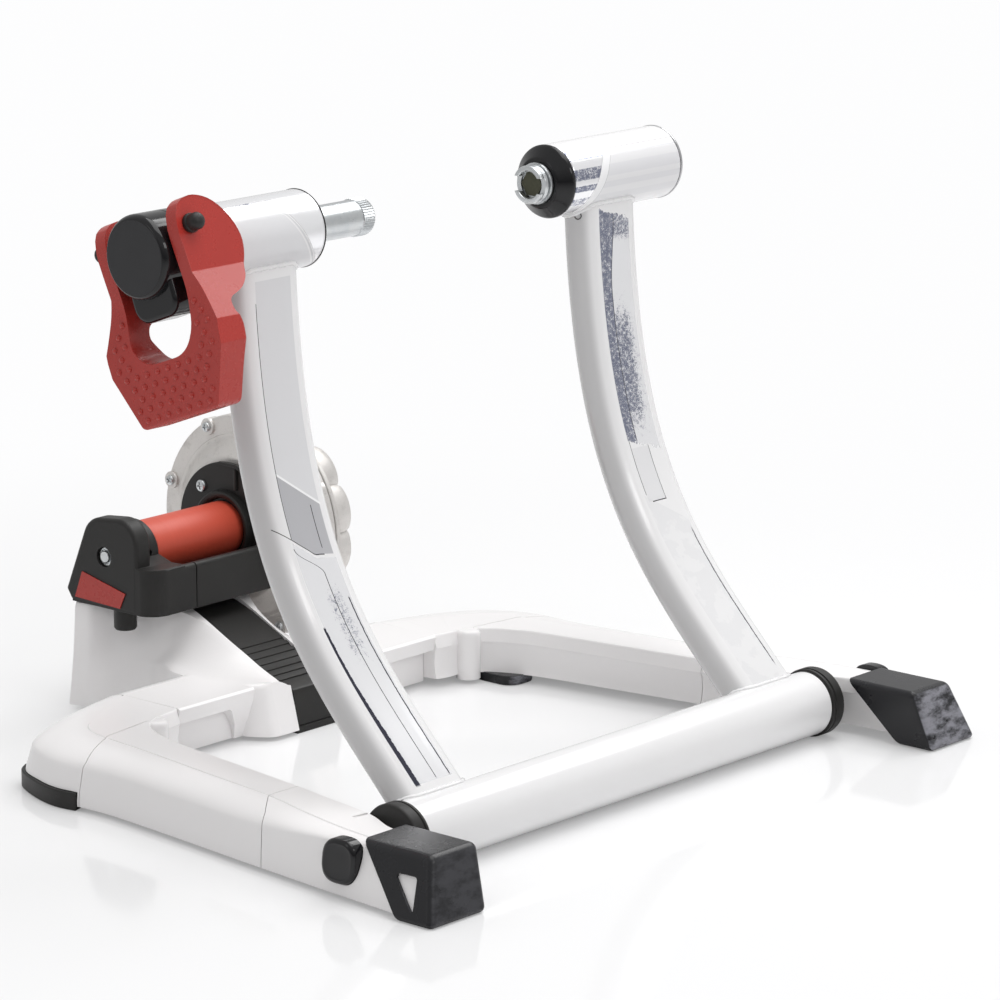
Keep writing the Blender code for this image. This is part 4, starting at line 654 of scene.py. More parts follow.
def cast_metal(name):
    """Sand-cast grey with stains and pores."""
    paint = Paint(name, tint("cast_grey"), 0.5, 0.75)
    cloud = paint.noise(22.0, 4.0, 0.65)
    stain = paint.noise(60.0, 5.0, 0.7).rise(0.50, 0.72)
    sand = paint.noise(1100.0, 3.0, 0.7)
    pores = paint.cells(700.0).fall(0.10, 0.22)
    base = paint.mix(cloud * 0.7, paint.colour, darker(paint.colour, 0.78))
    paint.colour_is(paint.mix(stain * 0.35 + pores * 0.3, base, shade(0.28, 0.26, 0.235)))
    paint.rough_is(0.40 + 0.18 * sand)
    paint.metal_is(0.85 - 0.45 * stain)
    paint.bump_is(sand - pores * 0.5, 0.00022, 0.55)
    return paint


def upright_paint(name):
    """White tube whose front face carries foil, grey panels and pin lines, and whose sides facing -X
    are painted darker as painted shade.

    The lever side is mostly white with a dark ragged outer strip. The other side has
    blue-grey foil on its upper part and a pale panel below.
    """
    paint = Paint(name, tint("white_paint"), 0.2, coat=0.3)
    x, _, z = paint.axes()
    side = x.rise(-0.01, 0.01)
    near = 1.0 - side
    across = (x.abs() - UPRIGHT_X) * (2.0 * side - 1.0)
    looks = paint.facing()
    front = looks[1].fall(-0.62, -0.55)
    band = front * across.within(-0.0165, 0.0170, 0.0002)
    edge = 0.0002
    cloud = paint.noise(14.0, 2.0)
    ragged = paint.noise(260.0, 4.0, 0.8) - 0.5
    # lever side: light panel, darker panel, then foil
    slope = z + across * 0.70
    foot = z + across.fall(-0.004, 0.004) * (across * 0.55) + across * 0.15
    grey = near * band * across.within(-0.0158, 0.0158, edge) * z.fall(0.3500, 0.3504)
    upper = grey * slope.rise(0.2190, 0.2194)
    dark = grey * slope.fall(0.2172, 0.2176) * foot.rise(0.1782, 0.1786)
    foil_near = near * band * foot.fall(0.1760, 0.1764) * z.rise(0.0500, 0.0504)
    turn = z.rise(0.166, 0.184)
    pin = near * front * (
        across.line(-0.0161, 0.00025, 0.0001) * z.within(0.190, 0.3365, 0.0002)
        + (across - 0.0028 + turn * 0.0193).line(0.0, 0.00028, 0.0001)
        * z.within(0.051, 0.184, 0.001)
        + across.line(0.0078, 0.00028, 0.0001) * z.within(0.181, 0.207, 0.001)
        + foot.line(0.1782, 0.00030, 0.0001) * across.fall(0.0078, 0.0082))
    white_line = near * band * slope.line(0.2183, 0.0007, 0.0002)
    strip_edge = across + ragged * 0.0026 + z.rise(0.050, 0.137) * 0.0021
    strip = near * front * strip_edge.fall(-0.0134, -0.0130) * across.rise(
        -0.0174, -0.0171) * z.within(0.050, 0.137, 0.002)
    patch = near * band * across.within(-0.004, 0.011, 0.003) * z.within(0.115, 0.160, 0.010)
    rag_line = near * front * (across + ragged * 0.0012).line(0.0150, 0.00045, 0.0002) * z.within(
        0.051, 0.150, 0.002)
    # adjuster side: foil, small panel, then a pale panel
    foil_far = side * band * across.within(-0.0150, 0.0156, edge) * (
        z - ragged * 0.010 + across * 0.30).within(0.1930, 0.3490, 0.0002)
    centre = z.rise(0.295, 0.350) * 0.0056 - 0.0058
    left_half = (across - centre).fall(-0.0002, 0.0002)
    right_half = 1.0 - left_half
    ink_far = left_half * 0.62 + right_half * (
        z.rise(0.326, 0.336) * 0.50 + z.within(0.205, 0.285, 0.020)
        * (0.20 + 0.34 * across.fall(0.004, 0.014)) + 0.04)
    pale_far = side * band * (z + across * 0.60).fall(0.1520, 0.1524) * z.rise(0.0440, 0.0444)
    panel_far = (side * band * across.within(-0.0140, 0.0040, edge)
                 * z.within(0.1575, 0.1920, 0.0004))
    lines_far = side * front * (
        (across - centre).line(0.0, 0.00025, 0.0001) * z.within(0.196, 0.347, 0.001)
        + across.line(-0.0140, 0.00022, 0.0001) * z.within(0.162, 0.197, 0.001)
        + across.line(0.0040, 0.00022, 0.0001) * z.within(0.157, 0.192, 0.001)
        + z.line(0.1572, 0.0003, 0.0001) * across.within(-0.010, 0.0040, edge))
    edge_far = side * front * (across + ragged * 0.0014).line(0.0156, 0.00040, 0.0002) * z.within(
        0.055, 0.135, 0.006)
    foil = foil_near + foil_far
    lines = (pin + lines_far).rise(0.1, 0.6)
    ragged_dark = (strip + rag_line + edge_far).rise(0.1, 0.6)
    white = paint.mix(cloud * 0.6, paint.colour, darker(paint.colour, 0.96))
    # Faces turned towards -X are painted darker: painted shade on the uprights' sides.
    sides = looks[0].fall(-0.85, -0.45)
    shown = paint.mix(sides * 0.85, white, darker(paint.colour, 0.66))
    shown = paint.mix(upper, shown, shade(0.69, 0.69, 0.705))
    shown = paint.mix(dark, shown, shade(0.45, 0.45, 0.47))
    shown = paint.mix(white_line, shown, shade(0.90, 0.90, 0.91))
    pale = paint.noise(70.0, 3.0).rise(0.46, 0.52)
    shown = paint.mix(panel_far * 0.4, shown, shade(0.62, 0.62, 0.64))
    shown = paint.mix(pale_far * (0.10 + 0.16 * pale), shown, shade(0.60, 0.60, 0.62))
    shown = paint.mix(foil, shown, foil_look(paint, side * ink_far + patch * 0.36))
    shown = paint.mix(ragged_dark, shown, shade(0.012, 0.013, 0.032))
    shown = paint.mix(lines, shown, shade(0.02, 0.02, 0.024))
    paint.colour_is(shown)
    inked = (lines + ragged_dark).rise(0.1, 0.9)
    paint.metal_is(foil * (0.55 - inked * 0.5))
    paint.rough_is(0.17 + 0.06 * cloud - foil * 0.04)
    wrinkle = paint.noise(180.0, 4.0, 0.7)
    paint.bump_is(paint.noise(260.0, 2.0) * 0.4 + wrinkle * foil, 0.00008, 0.3)
    return paint


def housing_paint(name):
    """White housings with a foil band, a grey panel and pin lines, turned round the axle; painted
    reflection bands run along the adjuster side's foil and pale panel.
    """
    paint = Paint(name, tint("white_paint"), 0.2, coat=0.3)
    x, y, z = paint.axes()
    side = x.rise(-0.01, 0.01)
    near = 1.0 - side
    angle = paint.math("ARCTAN2", z - AXLE_Z, AXLE_Y - y)
    reach = x.abs()
    edge = 0.0003
    cloud = paint.noise(14.0, 2.0)
    streaks = paint.noise(420.0, 4.0, 0.7, paint.stretched((0.12, 1.0, 1.0)))
    # lever side: the panel's rounded rim curves down towards the wheel
    rim = 0.1436 + 0.0182 * angle + angle.rise(0.60, 0.95) * 0.0120
    below = angle.within(-1.3, 0.93, 0.02)
    panel = near * below * (reach - rim).rise(-edge, edge) * reach.fall(0.1975, 0.1985)
    rim_grey = near * below * (reach - rim).line(-0.0022, 0.0008, 0.0003)
    rim_pin = near * below * (reach - rim).line(-0.0042, 0.0002, 0.0001)
    foil_near = (near * (1.0 - below * (reach - rim).rise(-0.0044, -0.0040))
                 * reach.rise(0.1215, 0.1218))
    dashes = near * angle.within(0.98, 1.22, 0.02) * reach.within(0.150, 0.215, 0.002)
    pins_near = near * reach.line(0.1240, 0.0002, 0.0001) * angle.within(-1.1, 0.3, 0.02)
    # adjuster side: foil band with a slanted end, a gap, then a pale panel
    slant = 0.1445 + 0.01387 * angle + angle.rise(0.3, 0.9) * 0.0022
    band_far = side * (reach - slant).fall(-edge, edge) * angle.within(-1.3, 1.25, 0.02)
    gap_far = side * (reach - slant).within(0.0, 0.0080, edge) * angle.within(-1.3, 0.93, 0.01)
    rim_far = (side * ((reach - slant).line(0.0, 0.0002, 0.0001)
                       + (reach - slant).line(0.0082, 0.0002, 0.0001))
               * angle.within(-1.2, 0.90, 0.01))
    line_far = side * angle.line(0.873, 0.009, 0.004) * reach.within(0.166, 0.2315, 0.001)
    # Bands by angle round the axle on the adjuster side: painted reflections on the foil and the pale
    # panel.
    painted_reflection_bands = (angle.within(0.72, 1.05, 0.03) * 0.52 + angle.line(0.675, 0.016, 0.006)
               + angle.within(0.08, 0.40, 0.02) * 0.60 + angle.within(-0.23, -0.06, 0.02) * 0.66
               + angle.within(-0.66, -0.42, 0.02) * 0.50)
    panel_far = side * (reach - slant).rise(0.0080, 0.0086) * angle.within(-1.3, 0.86, 0.01)
    foil = foil_near + band_far
    lines = (rim_pin * 0.5 + pins_near * 0.5 + rim_far * 0.5 + line_far).rise(0.1, 0.9)
    white = paint.mix(cloud * 0.6, paint.colour, darker(paint.colour, 0.96))
    shown = paint.mix(panel, white, shade(0.70, 0.70, 0.715))
    shown = paint.mix(rim_grey * 0.7, shown, shade(0.52, 0.52, 0.54))
    shown = paint.mix(panel_far * (0.25 + painted_reflection_bands * 0.5), shown, shade(0.62, 0.62, 0.65))
    shown = paint.mix(foil, shown, foil_look(
        paint, side * painted_reflection_bands + near * (0.02 + dashes * streaks.rise(0.45, 0.6) * 0.5)))
    shown = paint.mix(gap_far, shown, shade(0.86, 0.86, 0.87))
    shown = paint.mix(lines, shown, shade(0.03, 0.03, 0.035))
    paint.colour_is(shown)
    paint.metal_is(foil * (0.62 - lines * 0.5))
    paint.rough_is(0.16 + 0.06 * cloud - foil * 0.05 + foil * streaks * 0.06)
    wrinkle = paint.noise(180.0, 4.0, 0.7)
    paint.bump_is(paint.noise(260.0, 2.0) * 0.4 + wrinkle * foil * 0.6, 0.00008, 0.3)
    return paint


def floor_paint(name):
    """Pale glossy floor that fades to white away from the trainer."""
    paint = Paint(name, (0.90, 0.90, 0.905), 0.08, specular=0.7)
    x, y, _ = paint.axes()
    distance = paint.math("SQRT", x * x + y * y)
    white = paint.node("ShaderNodeEmission", None, {"Color": shade(0.985, 0.985, 0.99)})
    rays = paint.node("ShaderNodeLightPath")
    seen = Value(paint, rays.outputs["Is Camera Ray"])
    factor = seen * (0.26 + 0.74 * distance.rise(0.34, 1.00))
    blend = paint.node("ShaderNodeMixShader", None, {
        0: factor, 1: paint.shader.outputs[0], 2: white.outputs[0]})
    target = paint.tree.nodes["Material Output"]
    paint.tree.links.new(blend.outputs[0], target.inputs["Surface"])
    return paint


# How each finish is made, and the material slot of the record that it shows
PAINT_KINDS = {
    "tube_white": (white_paint, "white_paint"),
    "upright_white": (upright_paint, "white_paint"),
    "weld_white": (white_paint, "white_paint"),
    "gloss_black": (gloss_black, "gloss_black"),
    "housing_white": (housing_paint, "white_paint"),
    "bright_ring": (bare_steel, "bare_steel"),
    "head_face_black": (matt_face_black, "gloss_black"),
    "lever_red": (red_paint, "red_paint"),
    "zinc": (zinc_steel, "zinc_steel"),
    "knob_black": (black_plastic, "gloss_black"),
    "cup_shade_lining": (olive_shaded_steel, "zinc_steel"),
    "base_white": (white_plastic, "white_plastic"),
    "boot_black": (soft_black, "soft_black"),
    "trim_black": (black_plastic, "black_plastic"),
    "bushing_black": (black_plastic, "black_plastic"),
    "ramp_black": (black_plastic, "black_plastic"),
    "roller_red": (roller_red, "roller_red"),
    "casing_black": (black_plastic, "black_plastic"),
    "patch_red": (red_paint, "red_paint"),
    "cast_flange": (cast_metal, "cast_metal"),
    "cast_cover": (cast_metal, "cast_metal"),
    "screw_zinc": (zinc_steel, "zinc_steel"),
    "inner_zinc_steel": (zinc_steel, "zinc_steel"),
    "inner_bare_steel": (bare_steel, "bare_steel"),
    "inner_soft_black": (soft_black, "soft_black"),
    "inner_cast_metal": (cast_metal, "cast_metal"),
    "studio_floor": (floor_paint, None),
}
PAINTS = {}


def painted(name):
    """Give the material of that name, made the first time it is asked for."""
    if name not in PAINTS:
        PAINTS[name] = PAINT_KINDS[name][0](name).material
    return PAINTS[name]


# Cross tube, uprights and welds


# Flat oval section of the uprights: half of its straight part, and the radius of its ends
OVAL_HALF, OVAL_RADIUS = 0.0165, 0.0127
# How far the centre line of an upright passes in front of the axle
UPRIGHT_LEAD = 0.0063
# The welds follow these radii, just outside the tube and the housings
TUBE_SKIN, HOUSING_SKIN = 0.0222, 0.0252


def axle_place(x, across=0.0, down=0.0):
    """A place from the axle line: along it, square to it and down the leaning lever."""
    return Vector((x, AXLE_Y, AXLE_Z)) + ACROSS * across + DOWN * down


def axle_prism(name, outline, x, depth):
    """Prism along X over an outline of (across, down) from the axle line."""
    return prism(name, [axle_place(x, *point) for point in outline], (depth, 0.0, 0.0))


def bend_point(t):
    """Centre line of an upright from the axle line to the cross tube, as (y, z)."""
    high, y = AXLE_Z - TUBE_Z, AXLE_Y - TUBE_Y - UPRIGHT_LEAD
    corners = (Vector((y, high)), Vector((y - 0.0063, high - 0.2237)), Vector((0.0851, 0.0905)),
               Vector((0.0, 0.0)))
    weights = ((1 - t) ** 3, 3 * t * (1 - t) ** 2, 3 * t * t * (1 - t), t ** 3)
    spot = sum((corner * weight for corner, weight in zip(corners, weights)), Vector((0.0, 0.0)))
    return spot + Vector((TUBE_Y, TUBE_Z))


def oval(sx, centre, across, facets=10):
    """Flat oval section of an upright."""
    row = []
    for side in (1, -1):
        for step in range(facets + 1):
            turn = side * math.pi / 2 - math.pi * step / facets
            x = sx + side * OVAL_HALF + OVAL_RADIUS * math.cos(turn)
            spot = centre + across * OVAL_RADIUS * math.sin(turn)
            row.append((x, spot.x, spot.y))
        for step in range(1, 4):
            x = sx + side * OVAL_HALF * (1 - step / 2)
            spot = centre - across * side * OVAL_RADIUS
            row.append((x, spot.x, spot.y))
    return row


def upright(name, side):
    rings = []
    steps = 44
    for step in range(steps + 1):
        t = 0.012 + 0.953 * step / steps
        way = (bend_point(t + 0.001) - bend_point(t - 0.001)).normalized()
        rings.append(oval(side * UPRIGHT_X, bend_point(t), Vector((-way.y, way.x))))
    return sections(f"{name}_curved_leg", rings)


def weld_bead(name, side, path, thickness):
    """A lumpy bead along a closed path of (place, outward) pairs."""
    rings = []
    count = len(path)
    for index, (spot, out) in enumerate(path):
        after, before = path[(index + 1) % count][0], path[index - 1][0]
        along = (after - before).normalized()
        out = (out - along * out.dot(along)).normalized()
        up = along.cross(out)
        lump = 1.0 + 0.16 * math.sin(index * 2.4) + 0.10 * math.sin(index * 1.1 + side)
        rings.append([spot + (out * math.cos(turn) + up * math.sin(turn)) * thickness * lump
                      for turn in (2 * math.pi * k / 8 for k in range(8))])
    return sections(name, rings + [rings[0]])


def oval_loop(count=88):
    """Offsets (x, square to the face) round an upright's section."""
    half, radius = OVAL_HALF, OVAL_RADIUS
    straight, curve = 4 * half, 2 * math.pi * radius
    row = []
    for index in range(count):
        run = (straight + curve) * index / count
        if run < 2 * half:
            row.append((half - run, radius))
        elif run < 2 * half + curve / 2:
            turn = math.pi / 2 + (run - 2 * half) / radius
            row.append((-half + radius * math.cos(turn), radius * math.sin(turn)))
        elif run < 4 * half + curve / 2:
            row.append((-half + run - 2 * half - curve / 2, -radius))
        else:
            turn = -math.pi / 2 + (run - 4 * half - curve / 2) / radius
            row.append((half + radius * math.cos(turn), radius * math.sin(turn)))
    return row


def upright_welds(name, side):
    """Beads where an upright meets the cross tube and the axle housing."""
    way = (bend_point(0.97) - bend_point(0.999)).normalized()
    square = Vector((-way.y, way.x))
    foot, head = [], []
    for x, offset in oval_loop():
        reach = math.sqrt(TUBE_SKIN ** 2 - min(offset ** 2, 0.0004))
        spot = Vector((TUBE_Y, TUBE_Z)) + square * offset + way * reach
        out = square * offset * 1.6 + way * 0.008
        out = Vector((x, out.x, out.y))
        foot.append((Vector((side * UPRIGHT_X + x, spot.x, spot.y)), out))
        y = offset - UPRIGHT_LEAD
        drop = math.sqrt(HOUSING_SKIN ** 2 - y ** 2)
        head.append((Vector((side * UPRIGHT_X + x, AXLE_Y + y, AXLE_Z - drop)),
                     Vector((x, offset * 1.6, -0.010))))
    return [weld_bead(f"{name}_foot_weld", side, foot, 0.0016),
            weld_bead(f"{name}_head_weld", side, head, 0.0018)]


def drain_hole(name, spot, out, radius):
    """A small dark plug set flush in a tube, for the hole left by painting; its black is painted
    shade inside the hole.
    """
    return turned(name, [(radius * 0.55, -0.0012), (radius, -0.0010), (radius, 0.00015),
                         (radius * 0.8, 0.00022), (radius * 0.7, -0.0006)], spot, out, 20)


def build_tube_and_uprights():
    tube = turned("white_cross_tube", [
        (0.0192, -TUBE_HALF + 0.006), (0.0192, -TUBE_HALF), (0.0215, -TUBE_HALF),
        (0.0220, -TUBE_HALF + 0.0006), (0.0220, 0.0), (0.0220, TUBE_HALF - 0.0006),
        (0.0215, TUBE_HALF), (0.0192, TUBE_HALF), (0.0192, TUBE_HALF - 0.006)],
        TUBE, facets=96)
    finish(tube, "frame", "tube_white", ["cross_tube"])
    for label, side in SIDES:
        finish(upright(label, side), "frame", "upright_white", [f"{label}_upright"],
               angle=60.0, even=False)
        for weld in upright_welds(label, side):
            finish(weld, "frame", "weld_white", angle=80.0, even=False)
    # Drain holes: black plugs that are painted shade for the holes.
    for name, spot, turn, radius in (
            ("right_top_drain_hole", (0.1379, -0.0420, 0.3501), 24.0, 0.0026),
            ("left_low_drain_hole", (-0.1946, -0.1843, 0.0421), 18.0, 0.0016),
            ("right_low_drain_hole", (0.1368, -0.1825, 0.0393), 3.0, 0.0016)):
        turn = math.radians(turn)
        hole = drain_hole(name, spot, (-math.cos(turn), -math.sin(turn), 0.0), radius)
        finish(hole, "frame", "gloss_black")


# Axle housings and what turns or slides in them


def build_housings():
    for label, side in SIDES:
        low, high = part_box(f"{label}_axle_housing")
        inner = min(abs(low.x), abs(high.x))
        outer = max(abs(low.x), abs(high.x))
        obj = turned(f"{label}_housing_shell", [
            (0.0130, inner + 0.0004), (0.0245, inner + 0.0002), (0.0250, inner + 0.0009),
            (0.0250, (inner + outer) / 2), (0.0250, outer - 0.0007), (0.0245, outer),
            (0.0220, outer), (0.0220, outer - 0.004)], AXLE, (side, 0.0, 0.0), 128)
        finish(obj, "frame", "housing_white", [f"{label}_axle_housing"])
    inner = -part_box("left_axle_housing")[1].x
    trim = turned("left_inner_black_band", [
        (0.0120, inner + 0.0004), (0.0120, inner - 0.0002), (0.0236, inner - 0.0002),
        (0.0250, inner + 0.0003), (0.0254, inner + 0.0009), (0.0252, inner + 0.0016)],
        AXLE, LEFT, 128)
    finish(trim, "frame", "gloss_black", ["left_inner_trim_ring"])
    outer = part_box("right_axle_housing")[1].x
    bright = turned("right_outer_bright_band", [
        (0.0215, outer + 0.0002), (0.0252, outer + 0.0002), (0.0254, outer + 0.0010),
        (0.0250, outer + 0.0019), (0.0214, outer + 0.0019)], AXLE, facets=128)
    finish(bright, "frame", "bright_ring", ["right_outer_trim_ring"])
    cap = turned("right_outer_black_cap", [
        (0.0209, outer + 0.0002), (0.0209, outer + 0.0018), (0.0203, outer + 0.0024),
        (0.0150, outer + 0.0027), (0.0080, outer + 0.0028), (0.0020, outer + 0.0028)],
        AXLE, facets=96)
    finish(cap, "frame", "gloss_black", ["right_end_cap"], angle=30.0)


def build_clamp_head():
    outer = -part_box("clamp_head")[0].x
    inner = -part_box("left_axle_housing")[0].x + 0.0002
    radius = 0.0268
    barrel = turned("black_head_barrel", [
        (0.0210, inner), (radius - 0.0006, inner), (radius, inner + 0.0006),
        (radius, inner + 0.0085), (radius - 0.0005, inner + 0.0090), (radius, inner + 0.0095),
        (radius, outer - 0.0050), (radius - 0.0002, outer - 0.0036),
        (radius - 0.0007, outer - 0.0023), (radius - 0.0014, outer - 0.0012),
        (radius - 0.0023, outer - 0.0004), (radius - 0.0032, outer)],
        AXLE, LEFT, 128)
    half, drop = 0.0196, 0.0405
    outline = rounded([(-half, 0.0150, 0.0), (-half, drop, 0.0110), (half, drop, 0.0110),
                       (half, 0.0150, 0.0)], 12)
    lug = axle_prism("head_lug", outline, -inner, -0.0268)
    soften(lug, 0.0032, 5, 50.0)
    head = merge(barrel, lug)
    head.name = "black_clamp_head"
    finish(head, "frame", "gloss_black", ["clamp_head"])
    face = turned("head_end_face", [
        (0.0010, outer + 0.0001), (0.0200, outer + 0.0001), (radius - 0.0034, outer),
        (radius - 0.0035, outer - 0.0030)], AXLE, LEFT, 128)
    finish(face, "frame", "head_face_black", angle=30.0)


# Lever with its pin, knobs and studs


def lever_outline():
    """Front outline of the lever, as (across, down)."""
    top = -0.031
    return rounded([
        (-0.038, top, 0.0), (-0.038, 0.0192, 0.0), (-0.0518, 0.051, 0.0015),
        (-0.0508, 0.066, 0.004), (-0.0345, 0.1025, 0.005), (0.0345, 0.1025, 0.005),
        (0.0508, 0.066, 0.004), (0.0518, 0.051, 0.0015), (0.038, 0.0192, 0.0), (0.038, top, 0.0),
        (0.0287, top, 0.0), (0.0287, 0.0655, 0.020), (-0.0287, 0.0655, 0.020),
        (-0.0287, top, 0.0)], 10)


LEVER_FRONT = ((-0.2590, -0.0190), (-0.2608, -0.0100), (-0.2605, 0.0), (-0.2597, 0.011),
               (-0.2588, 0.024), (-0.2592, 0.033), (-0.2612, 0.045), (-0.2632, 0.056),
               (-0.2637, 0.075), (-0.2640, 0.101))


def lever_side():
    """Side outline of the lever, as (x, down): front line, foot, notch and disc."""
    back = smooth_row([
        [-0.2440, 0.0970], [-0.2432, 0.0800], [-0.2412, 0.0600], [-0.2420, 0.0535],
        [-0.2440, 0.0480], [-0.2428, 0.0420], [-0.2395, 0.0388], [-0.2340, 0.0370],
        [-0.2271, 0.0341], [-0.2200, 0.0285], [-0.2158, 0.0218], [-0.2120, 0.0146],
        [-0.2101, 0.0050], [-0.2126, -0.0051], [-0.2195, -0.0157], [-0.2296, -0.0240],
        [-0.2415, -0.0277], [-0.2510, -0.0266], [-0.2566, -0.0232]], 3)
    corner = rounded([(-0.2640, 0.0960, 0.0), (-0.2642, 0.1034, 0.0030), (-0.2446, 0.1040, 0.0040),
                      (-0.2440, 0.0960, 0.0)], 6)
    front = smooth_row([list(spot) for spot in LEVER_FRONT[:-1]], 2)
    return ([Vector(spot) for spot in front] + corner[1:-1] + [Vector(spot) for spot in back])


def front_x(down):
    """Where the lever's broad face stands, at a height below the axle line."""
    for (x, low), (next_x, high) in zip(LEVER_FRONT, LEVER_FRONT[1:]):
        if down <= high:
            return x + (next_x - x) * (down - low) / (high - low)
    return LEVER_FRONT[-1][0]


def stud_fits(across, down):
    """Whether a stud there is clear of the lever's edges and of its window."""
    a = abs(across)
    limits = ((0.019, 0.038), (0.051, 0.0518), (0.066, 0.0508), (0.1025, 0.0345))
    half = 0.0
    for (low, first), (high, last) in zip(limits, limits[1:]):
        if low <= down <= high:
            half = first + (last - first) * (down - low) / (high - low)
    if half - a < 0.0052 or down > 0.0975:
        return False
    corner = Vector((max(a - 0.0087, 0.0), max(down - 0.0455, 0.0))).length
    if down < 0.0455:
        return a > 0.0287 + 0.0040
    return corner > 0.020 + 0.0040


def lever_studs():
    """Domes in staggered rows over the lever's broad face."""
    first = turned("lever_stud", [
        (0.0021, 0.0004), (0.0020, -0.0003), (0.0017, -0.00085), (0.0012, -0.00120),
        (0.0006, -0.00138), (0.0001, -0.00142)], (0.0, 0.0, 0.0), facets=16)
    studs = []
    for row in range(11):
        down = 0.0292 + 0.0068 * row
        for column in range(-6, 7):
            across = (column + 0.5 * (row % 2)) * 0.0096
            if stud_fits(across, down):
                spot = axle_place(front_x(down), across, down)
                studs.append(copy_of(first, f"lever_stud_{row}_{column}",
                                     Matrix.Translation(spot)))
    bpy.data.objects.remove(first, do_unlink=True)
    return merge(*studs)


def knob_on(way):
    """The pin knob that stands on that side of the lever."""
    spots = {name: middle(name).y for name in ("near_pin_knob", "far_pin_knob")}
    return min(spots, key=spots.get) if way < 0 else max(spots, key=spots.get)


def build_lever():
    obj = axle_prism("red_clamp_lever", lever_outline(), -0.2800, 0.080)
    side = prism("side_limit", [Vector((point.x, 0.0, 0.0)) + axle_place(0.0, -0.070, point.y)
                                for point in lever_side()], ACROSS * 0.140)
    combine(obj, side, "INTERSECT")
    cut(obj, axle_prism("back_pocket", rounded([
        (-0.0440, 0.0700, 0.003), (-0.0300, 0.0985, 0.003), (0.0300, 0.0985, 0.003),
        (0.0440, 0.0700, 0.003)], 4), -0.2600, 0.060))
    pick(obj)
    bpy.ops.object.mode_set(mode="EDIT")
    for way in (ACROSS, -ACROSS):
        choose("FACE", lambda face: face.normal.dot(way) > 0.999
               and abs((face.calc_center_median() - axle_place(-0.24)).dot(ACROSS)) > 0.035
               and face.calc_area() > 0.0005)
        bpy.ops.mesh.inset(thickness=0.0013, depth=-0.0005)
    bpy.ops.object.mode_set(mode="OBJECT")
    soften(obj, 0.0009, 3, 32.0)
    finish(obj, "lever", "lever_red", ["clamp_lever"], angle=34.0)
    studs = lever_studs()
    studs.name = "lever_studs"
    finish(studs, "lever", "lever_red", angle=60.0, even=False)
    pin = axle_place(-0.250, 0.0, -0.0105)
    rod = turned("steel_lever_pin", [
        (0.0018, -0.0383), (0.0025, -0.0378), (0.0025, 0.0), (0.0025, 0.0378), (0.0018, 0.0383)],
        pin, ACROSS, 24)
    finish(rod, "lever", "zinc", ["lever_pin"])
    for way in (-1.0, 1.0):
        node = knob_on(way)
        knob = turned(f"black_{node}", [
            (0.0055, 0.0374), (0.0061, 0.0380), (0.0062, 0.0386), (0.0062, 0.0400),
            (0.0058, 0.0406), (0.0055, 0.0410), (0.0055, 0.0450), (0.0050, 0.0462),
            (0.0042, 0.0472), (0.0030, 0.0480), (0.0016, 0.0484), (0.0003, 0.0485)],
            pin, ACROSS * way, 40)
        finish(knob, "lever", "knob_black", [node], angle=30.0)


def build_plunger():
    rod = turned("steel_plunger", [
        (0.0100, 0.0734), (0.0118, 0.0738), (0.0118, 0.0900), (0.0116, 0.0904), (0.0118, 0.0908),
        (0.0118, 0.1220), (0.0118, 0.1300)], AXLE, LEFT)
    finish(rod, "plunger", "zinc")
    teeth = 44
    rows = []
    for x, radius, depth in (
            (0.0732, 0.0114, 0.0), (0.0726, 0.0125, 0.0005), (0.0660, 0.0126, 0.0006),
            (0.0632, 0.0124, 0.0005), (0.0621, 0.0116, 0.0001), (0.0620, 0.0096, 0.0),
            (0.0630, 0.0085, 0.0), (0.0700, 0.0082, 0.0), (0.0702, 0.0010, 0.0)):
        row = []
        for index in range(2 * teeth):
            turn = math.pi * index / teeth
            reach = radius - (depth if index % 2 else 0.0)
            row.append((-x, AXLE_Y + reach * math.cos(turn), AXLE_Z + reach * math.sin(turn)))
        rows.append(row)
    cup = sections("knurled_plunger_cup", rows)
    finish(cup, "plunger", "zinc", ["plunger_cup"], angle=22.0, even=False)


